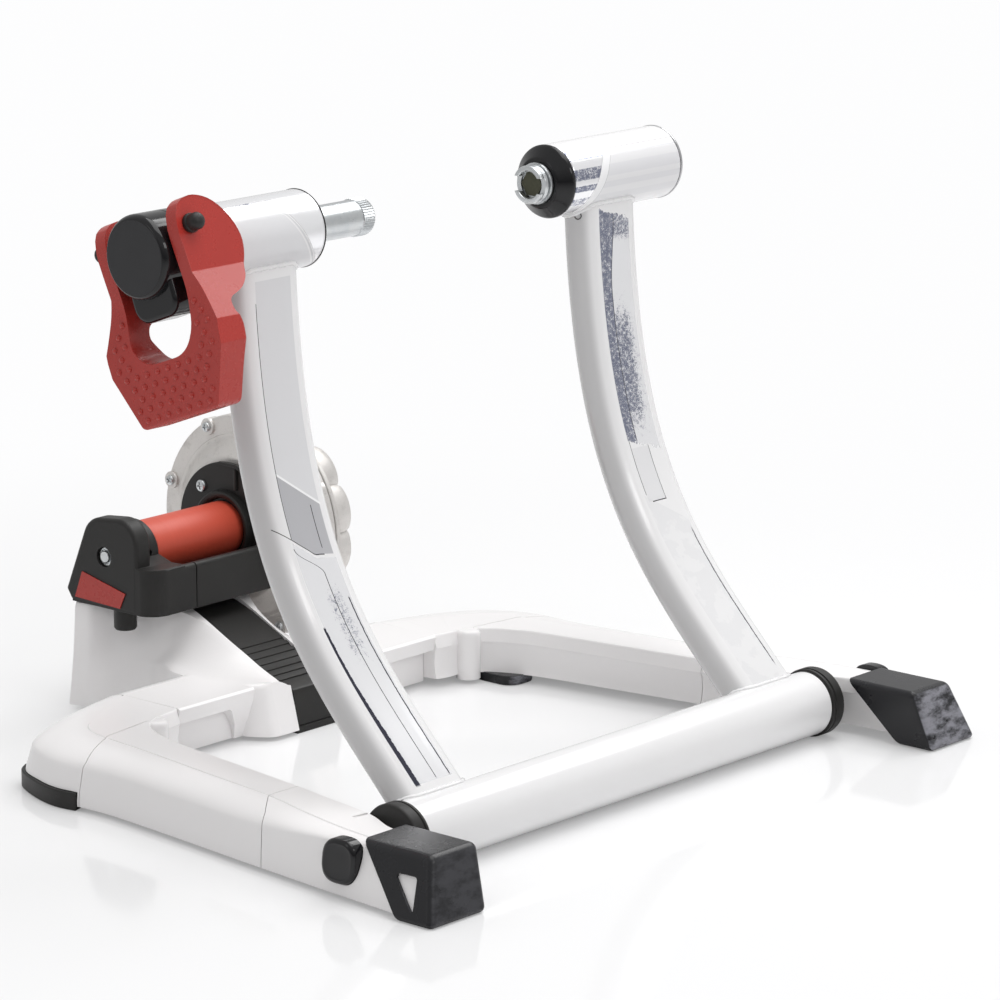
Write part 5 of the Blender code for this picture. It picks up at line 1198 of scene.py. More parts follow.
def build_adjuster():
    start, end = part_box("lock_ring")[0].x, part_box("lock_ring")[1].x
    nut = turned("black_lock_ring", [
        (0.0118, start + 0.0004), (0.0160, start), (0.0170, start + 0.0003),
        (0.0178, start + 0.0010), (0.0210, end - 0.0062), (0.0236, end - 0.0040),
        (0.0246, end - 0.0030), (0.0250, end - 0.0020), (0.0250, end - 0.0010),
        (0.0246, end - 0.0003), (0.0180, end), (0.0118, end)], AXLE, facets=128)
    finish(nut, "lock_ring", "gloss_black", ["lock_ring"], angle=30.0)
    collar = turned("steel_collar", [
        (0.0100, start + 0.0050), (0.0100, start - 0.0003), (0.0136, start - 0.0003),
        (0.0141, start - 0.0007), (0.0141, start - 0.0026), (0.0137, start - 0.0031),
        (0.0100, start - 0.0032)], AXLE, facets=96)
    finish(collar, "adjuster", "zinc")
    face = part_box("axle_cup")[0].x
    cup = turned("notched_axle_cup", [
        (0.0034, start - 0.0036), (0.0125, start - 0.0036), (0.0131, start - 0.0041),
        (0.0131, start - 0.0058), (0.0127, start - 0.0064), (0.0127, start - 0.0071),
        (0.0131, start - 0.0077), (0.0131, face + 0.0012), (0.0127, face + 0.0004),
        (0.0120, face), (0.0100, face), (0.0094, face + 0.0005), (0.0092, face + 0.0012),
        (0.0092, face + 0.0060), (0.0034, face + 0.0062), (0.0034, start - 0.0037)],
        AXLE, facets=96)
    notch = brick("cup_notch", (-0.006, -0.030, -0.0052), (0.0042, 0.030, 0.0052))
    notch.data.transform(Matrix.Translation((face, AXLE_Y, AXLE_Z)))
    cut(cup, notch)
    soften(cup, 0.0006, 2, 50.0)
    finish(cup, "adjuster", "zinc", ["axle_cup"], angle=35.0)
    # Dark olive sleeve inside the cup's socket: painted shade on the socket's inside.
    lining = turned("olive_cup_lining", [
        (0.0090, face + 0.0046), (0.0090, face + 0.0058), (0.0036, face + 0.0060)], AXLE,
        facets=6)
    finish(lining, "adjuster", "cup_shade_lining", angle=20.0, even=False)


# Base: side rails, boots, strips and plugs


LEG_BOTTOM, LEG_TOP = 0.003, 0.0385
BRIDGE_HALF = LEG_INNER - 0.0882
RAIL_LIMIT = LEG_INNER + 0.0845


def rail_stations():
    """Foot, flat top and inner edge of a rail in plan, then the height of its outer wall."""
    low, high, end, inner = 0.026, 0.033, BRIDGE_HALF, LEG_INNER
    return [
        [inner + 0.0581, -0.070, inner + 0.0415, -0.070, inner + 0.0155, -0.070, high],
        [inner + 0.0535, -0.018, inner + 0.0370, -0.018, inner + 0.0140, -0.018, high],
        [inner + 0.0505, 0.015, inner + 0.0325, 0.015, inner + 0.0005, 0.015, high],
        [inner + 0.0462, 0.055, inner + 0.0235, 0.055, inner - 0.0070, 0.055, 0.029],
        [inner + 0.0425, 0.090, inner + 0.0145, 0.090, inner - 0.0135, 0.090, low],
        [inner + 0.0356, 0.150, inner + 0.0060, 0.150, inner - 0.0225, 0.150, low],
        [inner + 0.0295, 0.212, inner - 0.0035, 0.214, inner - 0.0320, 0.214, low],
        [inner + 0.0295, 0.240, inner - 0.0070, 0.244, inner - 0.0390, 0.240, low],
        [inner + 0.0317, 0.265, inner - 0.0105, 0.270, inner - 0.0500, 0.260, low],
        [inner + 0.0271, 0.287, inner - 0.0195, 0.288, inner - 0.0640, 0.2685, low],
        [inner + 0.0165, 0.311, inner - 0.0405, 0.301, inner - 0.0720, 0.2700, low],
        [inner - 0.0105, 0.328, inner - 0.0635, 0.313, inner - 0.0785, 0.2710, low],
        [inner - 0.0515, 0.340, inner - 0.0775, 0.3195, inner - 0.0840, 0.2720, low],
        [end, 0.347, end, 0.325, end, 0.2735, low],
    ]


def rail_row(side, foot, top, inner, wall_top):
    """Section of a rail: outer wall, soft shoulder, flat top, creased inner wall."""
    outward = foot - top
    tuck = min(max((0.040 - foot.y) / 0.058, 0.0), 1.0)
    lean = foot - outward * (0.10 + 0.26 * tuck)
    row = [(foot, LEG_BOTTOM), (foot, LEG_BOTTOM + 0.004), (foot - outward * 0.03, 0.015)]
    brow = LEG_TOP - 0.0007
    for step in range(11):
        turn = math.pi / 2 * step / 10
        row.append((top + (lean - top) * math.cos(turn),
                    wall_top + (brow - wall_top) * math.sin(turn)))
    inward = (inner - top).normalized()
    row.append((top + inward * 0.0008, LEG_TOP))
    for step in range(1, 5):
        turn = math.pi / 2 * step / 4
        row.append((inner - inward * 0.0022 * (1 - math.sin(turn)),
                    LEG_TOP - 0.0022 * (1 - math.cos(turn))))
    row.append((inner + inward * 0.0010, 0.0335))
    row.append((inner + inward * 0.0025, 0.0290))
    row.append((inner + inward * 0.0012, 0.0265))
    row.append((inner + inward * 0.0004, 0.0180))
    row.append((inner + inward * 0.0012, 0.0105))
    row.append((inner + inward * 0.0025, LEG_BOTTOM + 0.0035))
    return [(side * spot.x, TUBE_Y + spot.y, z) for spot, z in row]


def rail(name, side):
    rows = [rail_row(side, Vector(row[0:2]), Vector(row[2:4]), Vector(row[4:6]), row[6])
            for row in smooth_row(rail_stations(), 5)]
    return sections(name, rows)


def rail_part(name, side, points):
    """The part of a rail that lies inside a plan outline."""
    return combine(rail(name, side), plan_prism("zone", side, points, -0.02, 0.10), "INTERSECT")


def finish_rail(piece, node):
    soften(piece, 0.0009, 2, 42.0)
    finish(piece, "base", "base_white", [node], angle=38.0)


def front_seam(shift):
    return [(0.100, 0.090 + shift), (LEG_INNER + 0.0145, 0.090 + shift),
            (LEG_INNER + 0.0345, 0.0735 + shift), (RAIL_LIMIT, 0.044 + shift)]


def rear_seam(shift):
    inner = LEG_INNER
    return [(inner - 0.0600, 0.2590 + shift), (inner - 0.0535, 0.2675 + shift),
            (inner - 0.0120, 0.2612 + shift), (inner + 0.0225, 0.2455 + shift),
            (RAIL_LIMIT, 0.243 + shift)]


def boot_solid(name, side, inset, sole, reach):
    """Slanted block of a boot, or the space inside it; reach moves its back."""
    height = 0.0405
    low, high = (sole, height - inset) if inset else (0.0, height)

    def at(bottom, top, z, step):
        return bottom + (top - bottom) * z / height + step

    obj = brick(name, (-1.0, -1.0, -1.0), (1.0, 1.0, 1.0))
    for vert in obj.data.vertices:
        z = high if vert.co.z > 0 else low
        x = at(0.0615, 0.0465, z, -inset) if vert.co.x > 0 else at(0.0100, 0.0045, z, inset)
        y = at(-0.0610, -0.0205, z, reach) if vert.co.y > 0 else at(-0.0893, -0.0762, z, inset)
        vert.co = (side * (LEG_INNER + x), TUBE_Y + y, z)
    pick(obj)
    bpy.ops.object.mode_set(mode="EDIT")
    bpy.ops.mesh.select_all(action="SELECT")
    bpy.ops.mesh.normals_make_consistent(inside=False)
    bpy.ops.object.mode_set(mode="OBJECT")
    return obj


def boot_back(side, shift, ahead):
    """Everything ahead of the boot's slanted back face, or everything behind it."""
    far = -0.200 if ahead else 0.100
    return side_prism("boot_back", [
        (far, -0.01), (-0.071 + shift, -0.01), (-0.001 + shift, 0.060), (far, 0.060)],
        side * (LEG_INNER - 0.06), side * (LEG_INNER + 0.10))


def plug_row(side, x, reach, count=56):
    """Squarish oval section of the side plug or of its seat."""
    row = []
    for step in range(count):
        turn = 2 * math.pi * step / count
        cosine, sine = math.cos(turn), math.sin(turn)
        y = math.copysign(abs(cosine) ** 0.74, cosine) * reach * 0.97
        z = math.copysign(abs(sine) ** 0.74, sine) * reach
        row.append((side * x, TUBE_Y - 0.0075 + y - 0.10 * z, 0.0250 + z))
    return row


def strip_outline(grow):
    """Plan of the band round a rear corner: outer edge out and inner edge back."""
    inner = LEG_INNER
    outer = smooth_row([[inner + 0.0306, 0.2470], [inner + 0.0325, 0.2650],
                        [inner + 0.0275, 0.2875], [inner + 0.0165, 0.3120],
                        [inner + 0.0045, 0.3215]], 4)
    centre = Vector((inner - 0.0255, 0.265))
    spots = [Vector(spot) for spot in outer]
    ways = [(spot - centre).normalized() for spot in spots]
    first = (spots[0] - spots[1]).normalized() * grow
    last = (spots[-1] - spots[-2]).normalized() * grow
    out = [spot + way * (0.001 + grow) for spot, way in zip(spots, ways)]
    back = [spot - way * (0.009 + grow) for spot, way in zip(spots, ways)]
    for row in (out, back):
        row[0], row[-1] = row[0] + first, row[-1] + last
    return [tuple(point) for point in out + list(reversed(back))]


def build_rails():
    for label, side in SIDES:
        leg = rail_part(f"{label}_leg_shell", side, [
            (0.100, -0.200), *front_seam(-0.0002), (RAIL_LIMIT, -0.200)])
        cut(leg, boot_back(side, 0.0004, True))
        plug_seat = sections("plug_seat", [plug_row(side, LEG_INNER + 0.0465, 0.0150),
                                           plug_row(side, LEG_INNER + 0.0800, 0.0150)])
        room = turned("bushing_room", [(0.0240, 0.0), (0.0240, LEG_INNER + 0.0001)],
                      TUBE, (side, 0.0, 0.0))
        slot = plan_prism("slot", side, [(LEG_INNER + x, y) for x, y in (
            (-0.0030, 0.0150), (0.0132, 0.0175), (0.0130, 0.0205), (-0.0032, 0.0180))],
            0.034, 0.044)
        cut(leg, plug_seat, room, slot)
        finish_rail(leg, f"{label}_front_leg")
        finish(boot_solid(f"{label}_leg_nose", side, 0.0024, 0.006, 0.0), "base", "base_white")

        band = rail_part(f"{label}_sleeve_shell", side, [
            *front_seam(0.0003), *reversed(rear_seam(-0.0003))])
        finish_rail(band, f"{label}_leg_sleeve")
        boss = turned(f"{label}_corner_boss", [
            (0.0010, LEG_BOTTOM), (0.0086, LEG_BOTTOM), (0.0088, 0.0340), (0.0084, 0.0362),
            (0.0074, 0.0376), (0.0060, 0.0381), (0.0010, 0.0381)],
            (side * (LEG_INNER - 0.0600), TUBE_Y + 0.2660, 0.0), UP, 48)
        finish(boss, "base", "base_white", angle=35.0)

        corner = rail_part(f"{label}_corner_shell", side, [
            (BRIDGE_HALF, 0.2500), *rear_seam(0.0003), (RAIL_LIMIT, 0.400), (BRIDGE_HALF, 0.400)])
        cut(corner, plan_prism("strip_rebate", side, strip_outline(0.0004), -0.01, 0.0124))
        finish_rail(corner, f"{label}_rear_corner")


def build_boots_and_trim():
    for label, side in SIDES:
        boot = boot_solid(f"black_{label}_boot", side, 0.0, 0.0, 0.010)
        window = side_prism("boot_window", rounded([
            (-0.0499, 0.0270, 0.002), (-0.0689, 0.0272, 0.002), (-0.0720, 0.0050, 0.0012)], 3),
            side * (LEG_INNER + 0.030), side * (LEG_INNER + 0.090))
        soften(boot, 0.0045, 5)
        cut(boot, boot_back(side, 0.0, False), boot_solid("hollow", side, 0.0020, 0.0056, 0.012),
            window)
        soften(boot, 0.0005, 1, 50.0)
        finish(boot, "base", "boot_black", [f"{label}_foot_boot"], angle=35.0)
        strip = plan_prism(f"black_{label}_corner_strip", side, strip_outline(0.0), 0.0, 0.012)
        soften(strip, 0.0012, 3, 50.0)
        finish(strip, "base", "trim_black", [f"{label}_corner_strip"])
        pad_x = LEG_INNER - 0.0375
        pad = prism(f"black_{label}_pad", [
            (side * pad_x + point.x, TUBE_Y + 0.252 + point.y, 0.0) for point in rounded(
                [(-0.015, -0.020, 0.012), (0.015, -0.020, 0.012), (0.015, 0.020, 0.012),
                 (-0.015, 0.020, 0.012)], 6)], (0.0, 0.0, 0.0068))
        soften(pad, 0.0010, 2, 50.0)
        finish(pad, "base", "boot_black", [f"{label}_under_pad"])
        face = LEG_INNER + 0.0560
        plug = sections(f"black_{label}_side_plug", [
            plug_row(side, face - depth, reach) for depth, reach in (
                (0.0095, 0.0145), (0.0024, 0.0145), (0.0012, 0.0140), (0.0004, 0.0131),
                (0.0, 0.0120), (0.0, 0.0112), (0.0003, 0.0106), (0.0003, 0.0060),
                (0.0003, 0.0008))])
        finish(plug, "base", "gloss_black", [f"{label}_side_plug"])
        start = TUBE_HALF + 0.0003
        bushing = turned(f"black_{label}_bushing", [
            (0.0060, start - 0.024), (0.0190, start - 0.024), (0.0190, start),
            (0.0226, start + 0.0001), (0.0234, start + 0.0007), (0.0236, start + 0.0016),
            (0.0234, start + 0.0025), (0.0226, start + 0.0029), (0.0226, start + 0.0036),
            (0.0236, start + 0.0042), (0.0236, start + 0.0100), (0.0231, start + 0.0116),
            (0.0220, start + 0.0124), (0.0060, start + 0.0125)],
            TUBE, (side, 0.0, 0.0), 96)
        finish(bushing, "base", "bushing_black", [f"{label}_pivot_bushing"])


# Base: bridge, hump and ramp


RAMP_LINE = ((0.2600, 0.0290), (0.2718, 0.0318), (0.2823, 0.0346), (0.2974, 0.0402),
             (0.3125, 0.0472), (0.3276, 0.0541), (0.3480, 0.0636), (0.3634, 0.0690),
             (0.3730, 0.0710))


def ramp_height(y):
    """Height of the ramp's top along its middle."""
    for (low, first), (high, last) in zip(RAMP_LINE, RAMP_LINE[1:]):
        if y <= high:
            return first + (last - first) * (y - low) / (high - low)
    return RAMP_LINE[-1][1]


def hump_row(y, foot, crown, top, rear):
    """Section of the hump; rear is 0 where its flank falls to the flat base and 1 at the fin."""
    block = 0.0385
    heights = (LEG_BOTTOM, 0.0200, block - 0.0032, block - 0.0010, block)
    insets = (0.0, 0.0, 0.0, 0.0008, 0.0030)

    def fin(height):
        """Half width of the hollow fin."""
        up = (height - LEG_BOTTOM) / (top - LEG_BOTTOM)
        return crown + 0.0020 + (foot - crown - 0.0020) * max(1 - up, 0.0) ** 1.6

    half = [((foot - inset) * (1 - rear) + fin(height) * rear, height)
            for height, inset in zip(heights, insets)]
    inner = foot - 0.0030
    for step in range(1, 9):
        u = step / 9
        x, z = inner + (crown + 0.0008 - inner) * u, block + (top - 0.0004 - block) * u ** 1.8
        height = block + (top - 0.0016 - block) * u
        half.append((x * (1 - rear) + fin(height) * rear, z * (1 - rear) + height * rear))
    half.append((crown + 0.0010 * rear, top - 0.0005 * rear))
    half.append((crown - 0.0015, top))
    front = max(0.0, 1.0 - (y - 0.2620) / 0.022)
    row = [(x, TUBE_Y + y + front * 0.26 * (z - LEG_BOTTOM), z) for x, z in half]
    return row + [(-x, y_place, z) for x, y_place, z in reversed(row)]


def build_bridge():
    bars = []
    for side in (-1, 1):
        rows = []
        for x in (side * (BRIDGE_HALF - 0.0002), side * 0.0560):
            rows.append([(x, TUBE_Y + y, z) for y, z in (
                (0.347, LEG_BOTTOM), (0.3465, 0.015), (0.3420, 0.0285), (0.3370, 0.0345),
                (0.3305, 0.0378), (0.3250, LEG_TOP), (0.2738, LEG_TOP), (0.2722, 0.0381),
                (0.2714, 0.0370), (0.2730, 0.0290), (0.2790, 0.0130), (0.2815, LEG_BOTTOM))])
        bar = sections("white_rear_bridge", rows)
        panel = prism("panel", [(side * point.x, TUBE_Y + 0.2500, point.y) for point in rounded(
            [(0.1300, -0.010, 0.0), (0.0640, -0.010, 0.0), (0.0680, 0.014, 0.004),
             (0.0760, 0.0272, 0.006), (0.1300, 0.0272, 0.0)], 6)], (0.0, 0.0335, 0.0))
        cut(bar, panel)
        bars.append(bar)
    hump = sections("hump", [hump_row(*row) for row in smooth_row([
        [0.2620, 0.0400, 0.0225, 0.0335, 0.0], [0.2635, 0.0460, 0.0225, 0.0334, 0.0],
        [0.2680, 0.0510, 0.0225, 0.0330, 0.0], [0.2760, 0.0560, 0.0225, 0.0334, 0.0],
        [0.2860, 0.0600, 0.0225, 0.0362, 0.0], [0.3000, 0.0660, 0.0225, 0.0418, 0.0],
        [0.3125, 0.0670, 0.0230, 0.0478, 0.0], [0.3276, 0.0670, 0.0235, 0.0546, 0.05],
        [0.3480, 0.0650, 0.0260, 0.0645, 0.15], [0.3640, 0.0615, 0.0330, 0.0715, 0.45],
        [0.3760, 0.0615, 0.0420, 0.0750, 0.80], [0.3900, 0.0640, 0.0480, 0.0757, 1.0],
        [0.4020, 0.0680, 0.0560, 0.0757, 1.0], [0.4100, 0.0735, 0.0650, 0.0757, 1.0],
        [0.4160, 0.0775, 0.0700, 0.0755, 1.0], [0.4280, 0.0800, 0.0708, 0.0752, 1.0]], 4)])
    for bar in bars:
        combine(hump, bar, "UNION")
    hump.name = "white_rear_bridge"
    width = 0.0223
    floor = [(y + 0.0010, z - 0.0075) for y, z in RAMP_LINE[1:-1]]
    channel = side_prism("channel", [
        (0.200, -0.020), (0.200, 0.095), (0.3733, 0.095), (0.3733, 0.0632),
        *reversed(floor), (0.2690, -0.020)], -width, width)
    room = turned("brake_room", [(0.054, 0.048), (0.066, 0.060), (0.082, 0.060), (0.082, 0.200)],
                  BRAKE, facets=96)
    cut(hump, channel, room)
    soften(hump, 0.0008, 2, 44.0)
    finish(hump, "base", "base_white", ["rear_bridge"])


def build_ramp():
    half = 0.0218
    top = [(y, z - 0.0004) for y, z in RAMP_LINE[2:]]
    plate = side_prism("black_ramp", [
        (0.2640, 0.0), (0.2672, 0.0270), (0.2680, 0.0300), (0.2700, 0.0313), *top,
        (0.3730, 0.0650), *[(y + 0.0010, z - 0.0068) for y, z in reversed(RAMP_LINE[1:-1])],
        (0.2700, 0.0)], -half, half)
    grooves = []
    for index in range(7):
        y = 0.2790 + 0.0062 * index
        low, high = ramp_height(y), ramp_height(y + 0.0033)
        grooves.append(side_prism("rib_gap", [
            (y, low - 0.0013), (y + 0.0033, high - 0.0013), (y + 0.0029, high + 0.003),
            (y - 0.0002, low + 0.003)], -half - 0.001, half + 0.001))
    cut(plate, merge(*grooves))
    toe = brick("toe_groove", (-half - 0.001, TUBE_Y + 0.250, 0.0046),
                (half + 0.001, TUBE_Y + 0.2655, 0.0058))
    cut(plate, toe)
    soften(plate, 0.0005, 2, 30.0)
    finish(plate, "base", "ramp_black", ["ramp_plate"])


# Roller and its casings


HUMP_TOP = 0.0760
CASING_LEFT_X, CHEEK_X, SEAM_X, PLATE_X = -0.0745, -0.0425, -0.032, 0.050


def build_roller():
    left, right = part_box("roller_sleeve")[0].x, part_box("roller_sleeve")[1].x
    skin = turned("red_roller_skin", [
        (0.0160, left + 0.0004), (0.0180, left), (0.0187, left + 0.0003), (0.0191, left + 0.0012),
        (0.0191, (left + right) / 2), (0.0191, right - 0.0012), (0.0187, right - 0.0003),
        (0.0180, right), (0.0160, right - 0.0004)], ROLLER, facets=128)
    finish(skin, "roller", "roller_red", ["roller_sleeve"])


def trough(name, start, end):
    """Front wall, floor and rear lip under the roller."""
    obj = side_prism(name, rounded([
        (0.3490, HUMP_TOP, 0.0), (0.4300, HUMP_TOP, 0.0), (0.4300, 0.0960, 0.002),
        (0.4240, 0.0960, 0.001), (0.4200, 0.0820, 0.002), (0.3650, 0.0820, 0.004),
        (0.3575, 0.1070, 0.002), (0.3490, 0.1090, 0.003)], 4), start, end)
    return soften(obj, 0.0009, 2, 50.0)


def build_end_casing():
    inner, front, radius = -0.060, 0.3645, 0.0155
    casing = side_prism("black_end_casing", rounded([
        (front, 0.1430, 0.018), (front, HUMP_TOP, 0.0), (0.4300, HUMP_TOP, 0.0),
        (0.4352, 0.0842, 0.003), (0.4125, 0.1380, 0.018)], 10), CASING_LEFT_X, inner)
    soften(casing, 0.0036, 6, 40.0)
    saddle = side_prism("saddle", [
        (0.3490, HUMP_TOP), (0.4290, HUMP_TOP), (0.4270, 0.0900), (0.4225, 0.1000),
        (ROLLER_Y - TUBE_Y + 0.0218, ROLLER_Z), (ROLLER_Y - TUBE_Y - 0.0218, ROLLER_Z),
        (0.3625, 0.1085), (0.3500, 0.1090), (0.3490, 0.1080)], CASING_LEFT_X + 0.0002, CHEEK_X)
    corner = Vector((CASING_LEFT_X + radius, TUBE_Y + 0.3490 + radius))
    arc = [corner - radius * Vector((math.cos(turn), math.sin(turn)))
           for turn in (math.pi / 2 * step / 12 for step in range(13))]
    arc = [(arc[0].x - 0.005, arc[0].y), *arc, (arc[-1].x, arc[-1].y - 0.005),
           (arc[0].x - 0.005, arc[-1].y - 0.005)]
    cut(saddle, prism("corner_cutter", [(x, y, 0.060) for x, y in arc], (0.0, 0.0, 0.070)))
    soften(saddle, 0.0012, 3, 50.0)
    shroud = turned("shroud", [
        (0.0010, inner - 0.002), (0.0218, inner - 0.002), (0.0218, CHEEK_X - 0.0010),
        (0.0210, CHEEK_X), (0.0196, CHEEK_X), (0.0010, CHEEK_X)], ROLLER, facets=96)
    combine(casing, saddle, "UNION")
    combine(casing, shroud, "UNION")
    combine(casing, trough("front_trough", CHEEK_X - 0.002, SEAM_X - 0.0002), "UNION")
    recess = turned("recess", [(0.0070, -0.090), (0.0070, CASING_LEFT_X + 0.0046)], ROLLER, facets=48)
    dips = []
    for turn in (math.radians(6.5), math.radians(63.0)):
        way = Vector((0.0, -math.cos(turn), math.sin(turn)))
        dips.append(turned("dip", [(0.0026, 0.0186), (0.0026, 0.0300)],
                           (-0.0520, ROLLER_Y, ROLLER_Z), way, 28))
    cut(casing, recess, *dips)
    finish(casing, "base", "casing_black", ["unit_end_casing"], angle=38.0)
    peg = turned("black_casing_peg", [(0.0045, 0.0620), (0.0070, 0.0620), (0.0080, 0.0634),
                                      (0.0080, 0.0790)], (-0.066, TUBE_Y + 0.385, 0.0), UP, 40)
    finish(peg, "base", "casing_black")
    face = CASING_LEFT_X
    bolt = turned("steel_roller_bolt", [
        (0.0066, face + 0.0045), (0.0066, face + 0.0028), (0.0062, face + 0.0022),
        (0.0052, face + 0.0022), (0.0048, face + 0.0030), (0.0044, face + 0.0030),
        (0.0042, face + 0.0010), (0.0037, face + 0.0005), (0.0012, face + 0.0005)], ROLLER, facets=48)
    finish(bolt, "base", "zinc", ["roller_end_bolt"])
    patch = side_prism("red_casing_patch", [
        (0.4177, 0.0990), (0.3754, 0.0897), (0.3809, 0.0784), (0.4252, 0.0799)],
        face - 0.0002, face - 0.0008)
    finish(patch, "base", "patch_red")


def plate_outline():
    """Backing plate: round over the roller, with a foot at the front."""
    centre = Vector((ROLLER_Y - TUBE_Y, ROLLER_Z))
    points = []
    for step in range(49):
        turn = math.radians(-15.0 + 190.0 * step / 48)
        points.append(centre + 0.046 * Vector((math.cos(turn), math.sin(turn))))
    return points + [Vector((0.349, HUMP_TOP)), Vector((0.430, HUMP_TOP))]


def build_roller_casing():
    casing = trough("black_roller_casing", SEAM_X + 0.0002, PLATE_X - 0.004)
    plate = side_prism("plate", plate_outline(), PLATE_X - 0.005, PLATE_X)
    soften(plate, 0.0012, 3, 50.0)
    combine(casing, plate, "UNION")
    flare = turned("roller_flare", [
        (0.0200, PLATE_X - 0.0045), (0.0264, PLATE_X - 0.0045), (0.0264, PLATE_X - 0.0092),
        (0.0260, PLATE_X - 0.0104), (0.0250, PLATE_X - 0.0110), (0.0232, PLATE_X - 0.0106),
        (0.0218, PLATE_X - 0.0094), (0.0210, PLATE_X - 0.0078), (0.0206, PLATE_X - 0.0060)],
        ROLLER, facets=96)
    ridge = side_prism("plate_ridge", [(0.3560, 0.1430), (0.3560, 0.1490), (0.3850, 0.1590),
                                       (0.4020, 0.1590), (0.4020, 0.1570), (0.3860, 0.1565)],
                       PLATE_X - 0.0072, PLATE_X - 0.0045)
    rib = side_prism("plate_rib", [(0.3845, 0.1400), (0.3870, 0.1400), (0.3870, 0.1560),
                                   (0.3845, 0.1560)], PLATE_X - 0.0072, PLATE_X - 0.0045)
    for piece in (ridge, rib):
        soften(piece, 0.0008, 2)
    for piece in (flare, ridge, rib):
        combine(casing, piece, "UNION")
    finish(casing, "base", "casing_black", ["unit_roller_casing"], angle=36.0)


# Fluid brake and its screws


SCREW_CIRCLE = 0.0755
SCREW_START = math.radians(17.5)


def screw_place(index):
    """Centre of a flange screw, as (y, z)."""
    turn = SCREW_START + math.radians(45.0) * index
    return (BRAKE_Y + SCREW_CIRCLE * math.cos(turn), BRAKE_Z + SCREW_CIRCLE * math.sin(turn))


def build_flange():
    disc = turned("grey_brake_flange", [
        (0.0300, 0.0503), (0.0505, 0.0503), (0.0520, 0.0508), (0.0532, 0.0522), (0.0622, 0.0602),
        (0.0640, 0.0612), (0.0662, 0.0612), (0.0668, 0.0618), (0.0690, 0.0622), (0.0776, 0.0622),
        (0.0790, 0.0628), (0.0799, 0.0642), (0.0800, 0.0660), (0.0800, 0.0712), (0.0794, 0.0720),
        (0.0300, 0.0720)], BRAKE, facets=160)
    bosses = [turned("screw_boss", [(0.0062, 0.0700), (0.0062, 0.0612), (0.0058, 0.0606),
                                    (0.0030, 0.0606)], (0.0, *screw_place(index)), facets=32)
              for index in range(8)]
    for boss in bosses:
        combine(disc, boss, "UNION")
    soften(disc, 0.0004, 2, 50.0)
    finish(disc, "base", "cast_flange", ["brake_flange"], angle=32.0)


def lobe_row(x, reach, depth, count=12, per=14):
    """Section of the cover with fan-like lobes that bulge between narrow valleys."""
    row = []
    for index in range(count * per):
        turn = 2 * math.pi * index / (count * per)
        swell = abs(math.sin(turn * count / 2)) ** 0.55
        radius = reach - depth * (1.0 - swell)
        row.append((x, BRAKE_Y + radius * math.cos(turn), BRAKE_Z + radius * math.sin(turn)))
    return row


def build_cover():
    seam = 0.0738
    shell = sections("grey_brake_cover", [lobe_row(seam + x, reach, depth) for x, reach, depth in (
        (0.0030, 0.0700, 0.0005), (0.0042, 0.0722, 0.0040), (0.0100, 0.0727, 0.0052),
        (0.0190, 0.0722, 0.0058), (0.0255, 0.0700, 0.0060), (0.0290, 0.0662, 0.0058),
        (0.0308, 0.0600, 0.0050), (0.0312, 0.0500, 0.0036), (0.0306, 0.0380, 0.0020),
        (0.0300, 0.0300, 0.0008), (0.0312, 0.0270, 0.0), (0.0312, 0.0060, 0.0))])
    rim = turned("cover_rim", [
        (0.0600, seam), (0.0784, seam), (0.0790, seam + 0.0006), (0.0790, seam + 0.0034),
        (0.0782, seam + 0.0042), (0.0640, seam + 0.0046)], BRAKE, facets=160)
    shell = merge(shell, rim)
    shell.name = "grey_brake_cover"
    finish(shell, "base", "cast_cover", ["brake_cover"], angle=40.0)


def phillips_screw(name, radius, rise):
    """Pan head with a cross, its underside at the origin and its face towards -X."""
    head = turned(name, [
        (radius * 0.55, 0.0010), (radius, 0.0006), (radius, -rise * 0.45),
        (radius * 0.93, -rise * 0.72), (radius * 0.75, -rise * 0.93), (radius * 0.40, -rise),
        (radius * 0.06, -rise)], (0.0, 0.0, 0.0), facets=32)
    arms = [brick("cross", (-rise - 0.001, -radius * 0.62, -radius * 0.13),
                  (-rise * 0.42, radius * 0.62, radius * 0.13)),
            brick("cross", (-rise - 0.001, -radius * 0.13, -radius * 0.62),
                  (-rise * 0.42, radius * 0.13, radius * 0.62))]
    cut(head, *arms)
    return head


def build_screws():
    model = phillips_screw("phillips_flange_head", 0.0036, 0.0022)
    for index in range(8):
        y, z = screw_place(index)
        turn = Matrix.Rotation(0.5 + 0.9 * index, 4, "X")
        screw = copy_of(model, f"flange_head_{index + 1}",
                        Matrix.Translation((0.0606, y, z)) @ turn)
        named = [f"flange_screw_{index + 1}"] if index < 3 else []
        finish(screw, "base", "screw_zinc", named)
    bpy.data.objects.remove(model, do_unlink=True)
    model = phillips_screw("phillips_casing_head", 0.0044, 0.0024)
    for index in (1, 2):
        spot = middle(f"casing_screw_{index}")
        turn = Matrix.Rotation(0.3 + 1.1 * index, 4, "X")
        screw = copy_of(model, f"casing_head_{index}",
                        Matrix.Translation((PLATE_X - 0.0051, spot.y, spot.z)) @ turn)
        finish(screw, "base", "screw_zinc", [f"casing_screw_{index}"])
    bpy.data.objects.remove(model, do_unlink=True)


# Finishes of the hidden pieces that stay as they are


HIDDEN_FINISHES = (
    ("inner_zinc_steel", ("left_pivot_bolt", "right_pivot_bolt", "left_mounting_bolt",
                          "right_mounting_bolt", "clamp_plunger", "adjuster_screw")),
    ("inner_bare_steel", ("left_bearing", "right_bearing", "clamp_spring", "lever_cam",
                          "roller_shaft")),
    ("inner_soft_black", ("shaft_seal", "brake_gasket")),
    ("inner_cast_metal", ("roller_core", "impeller")),
)


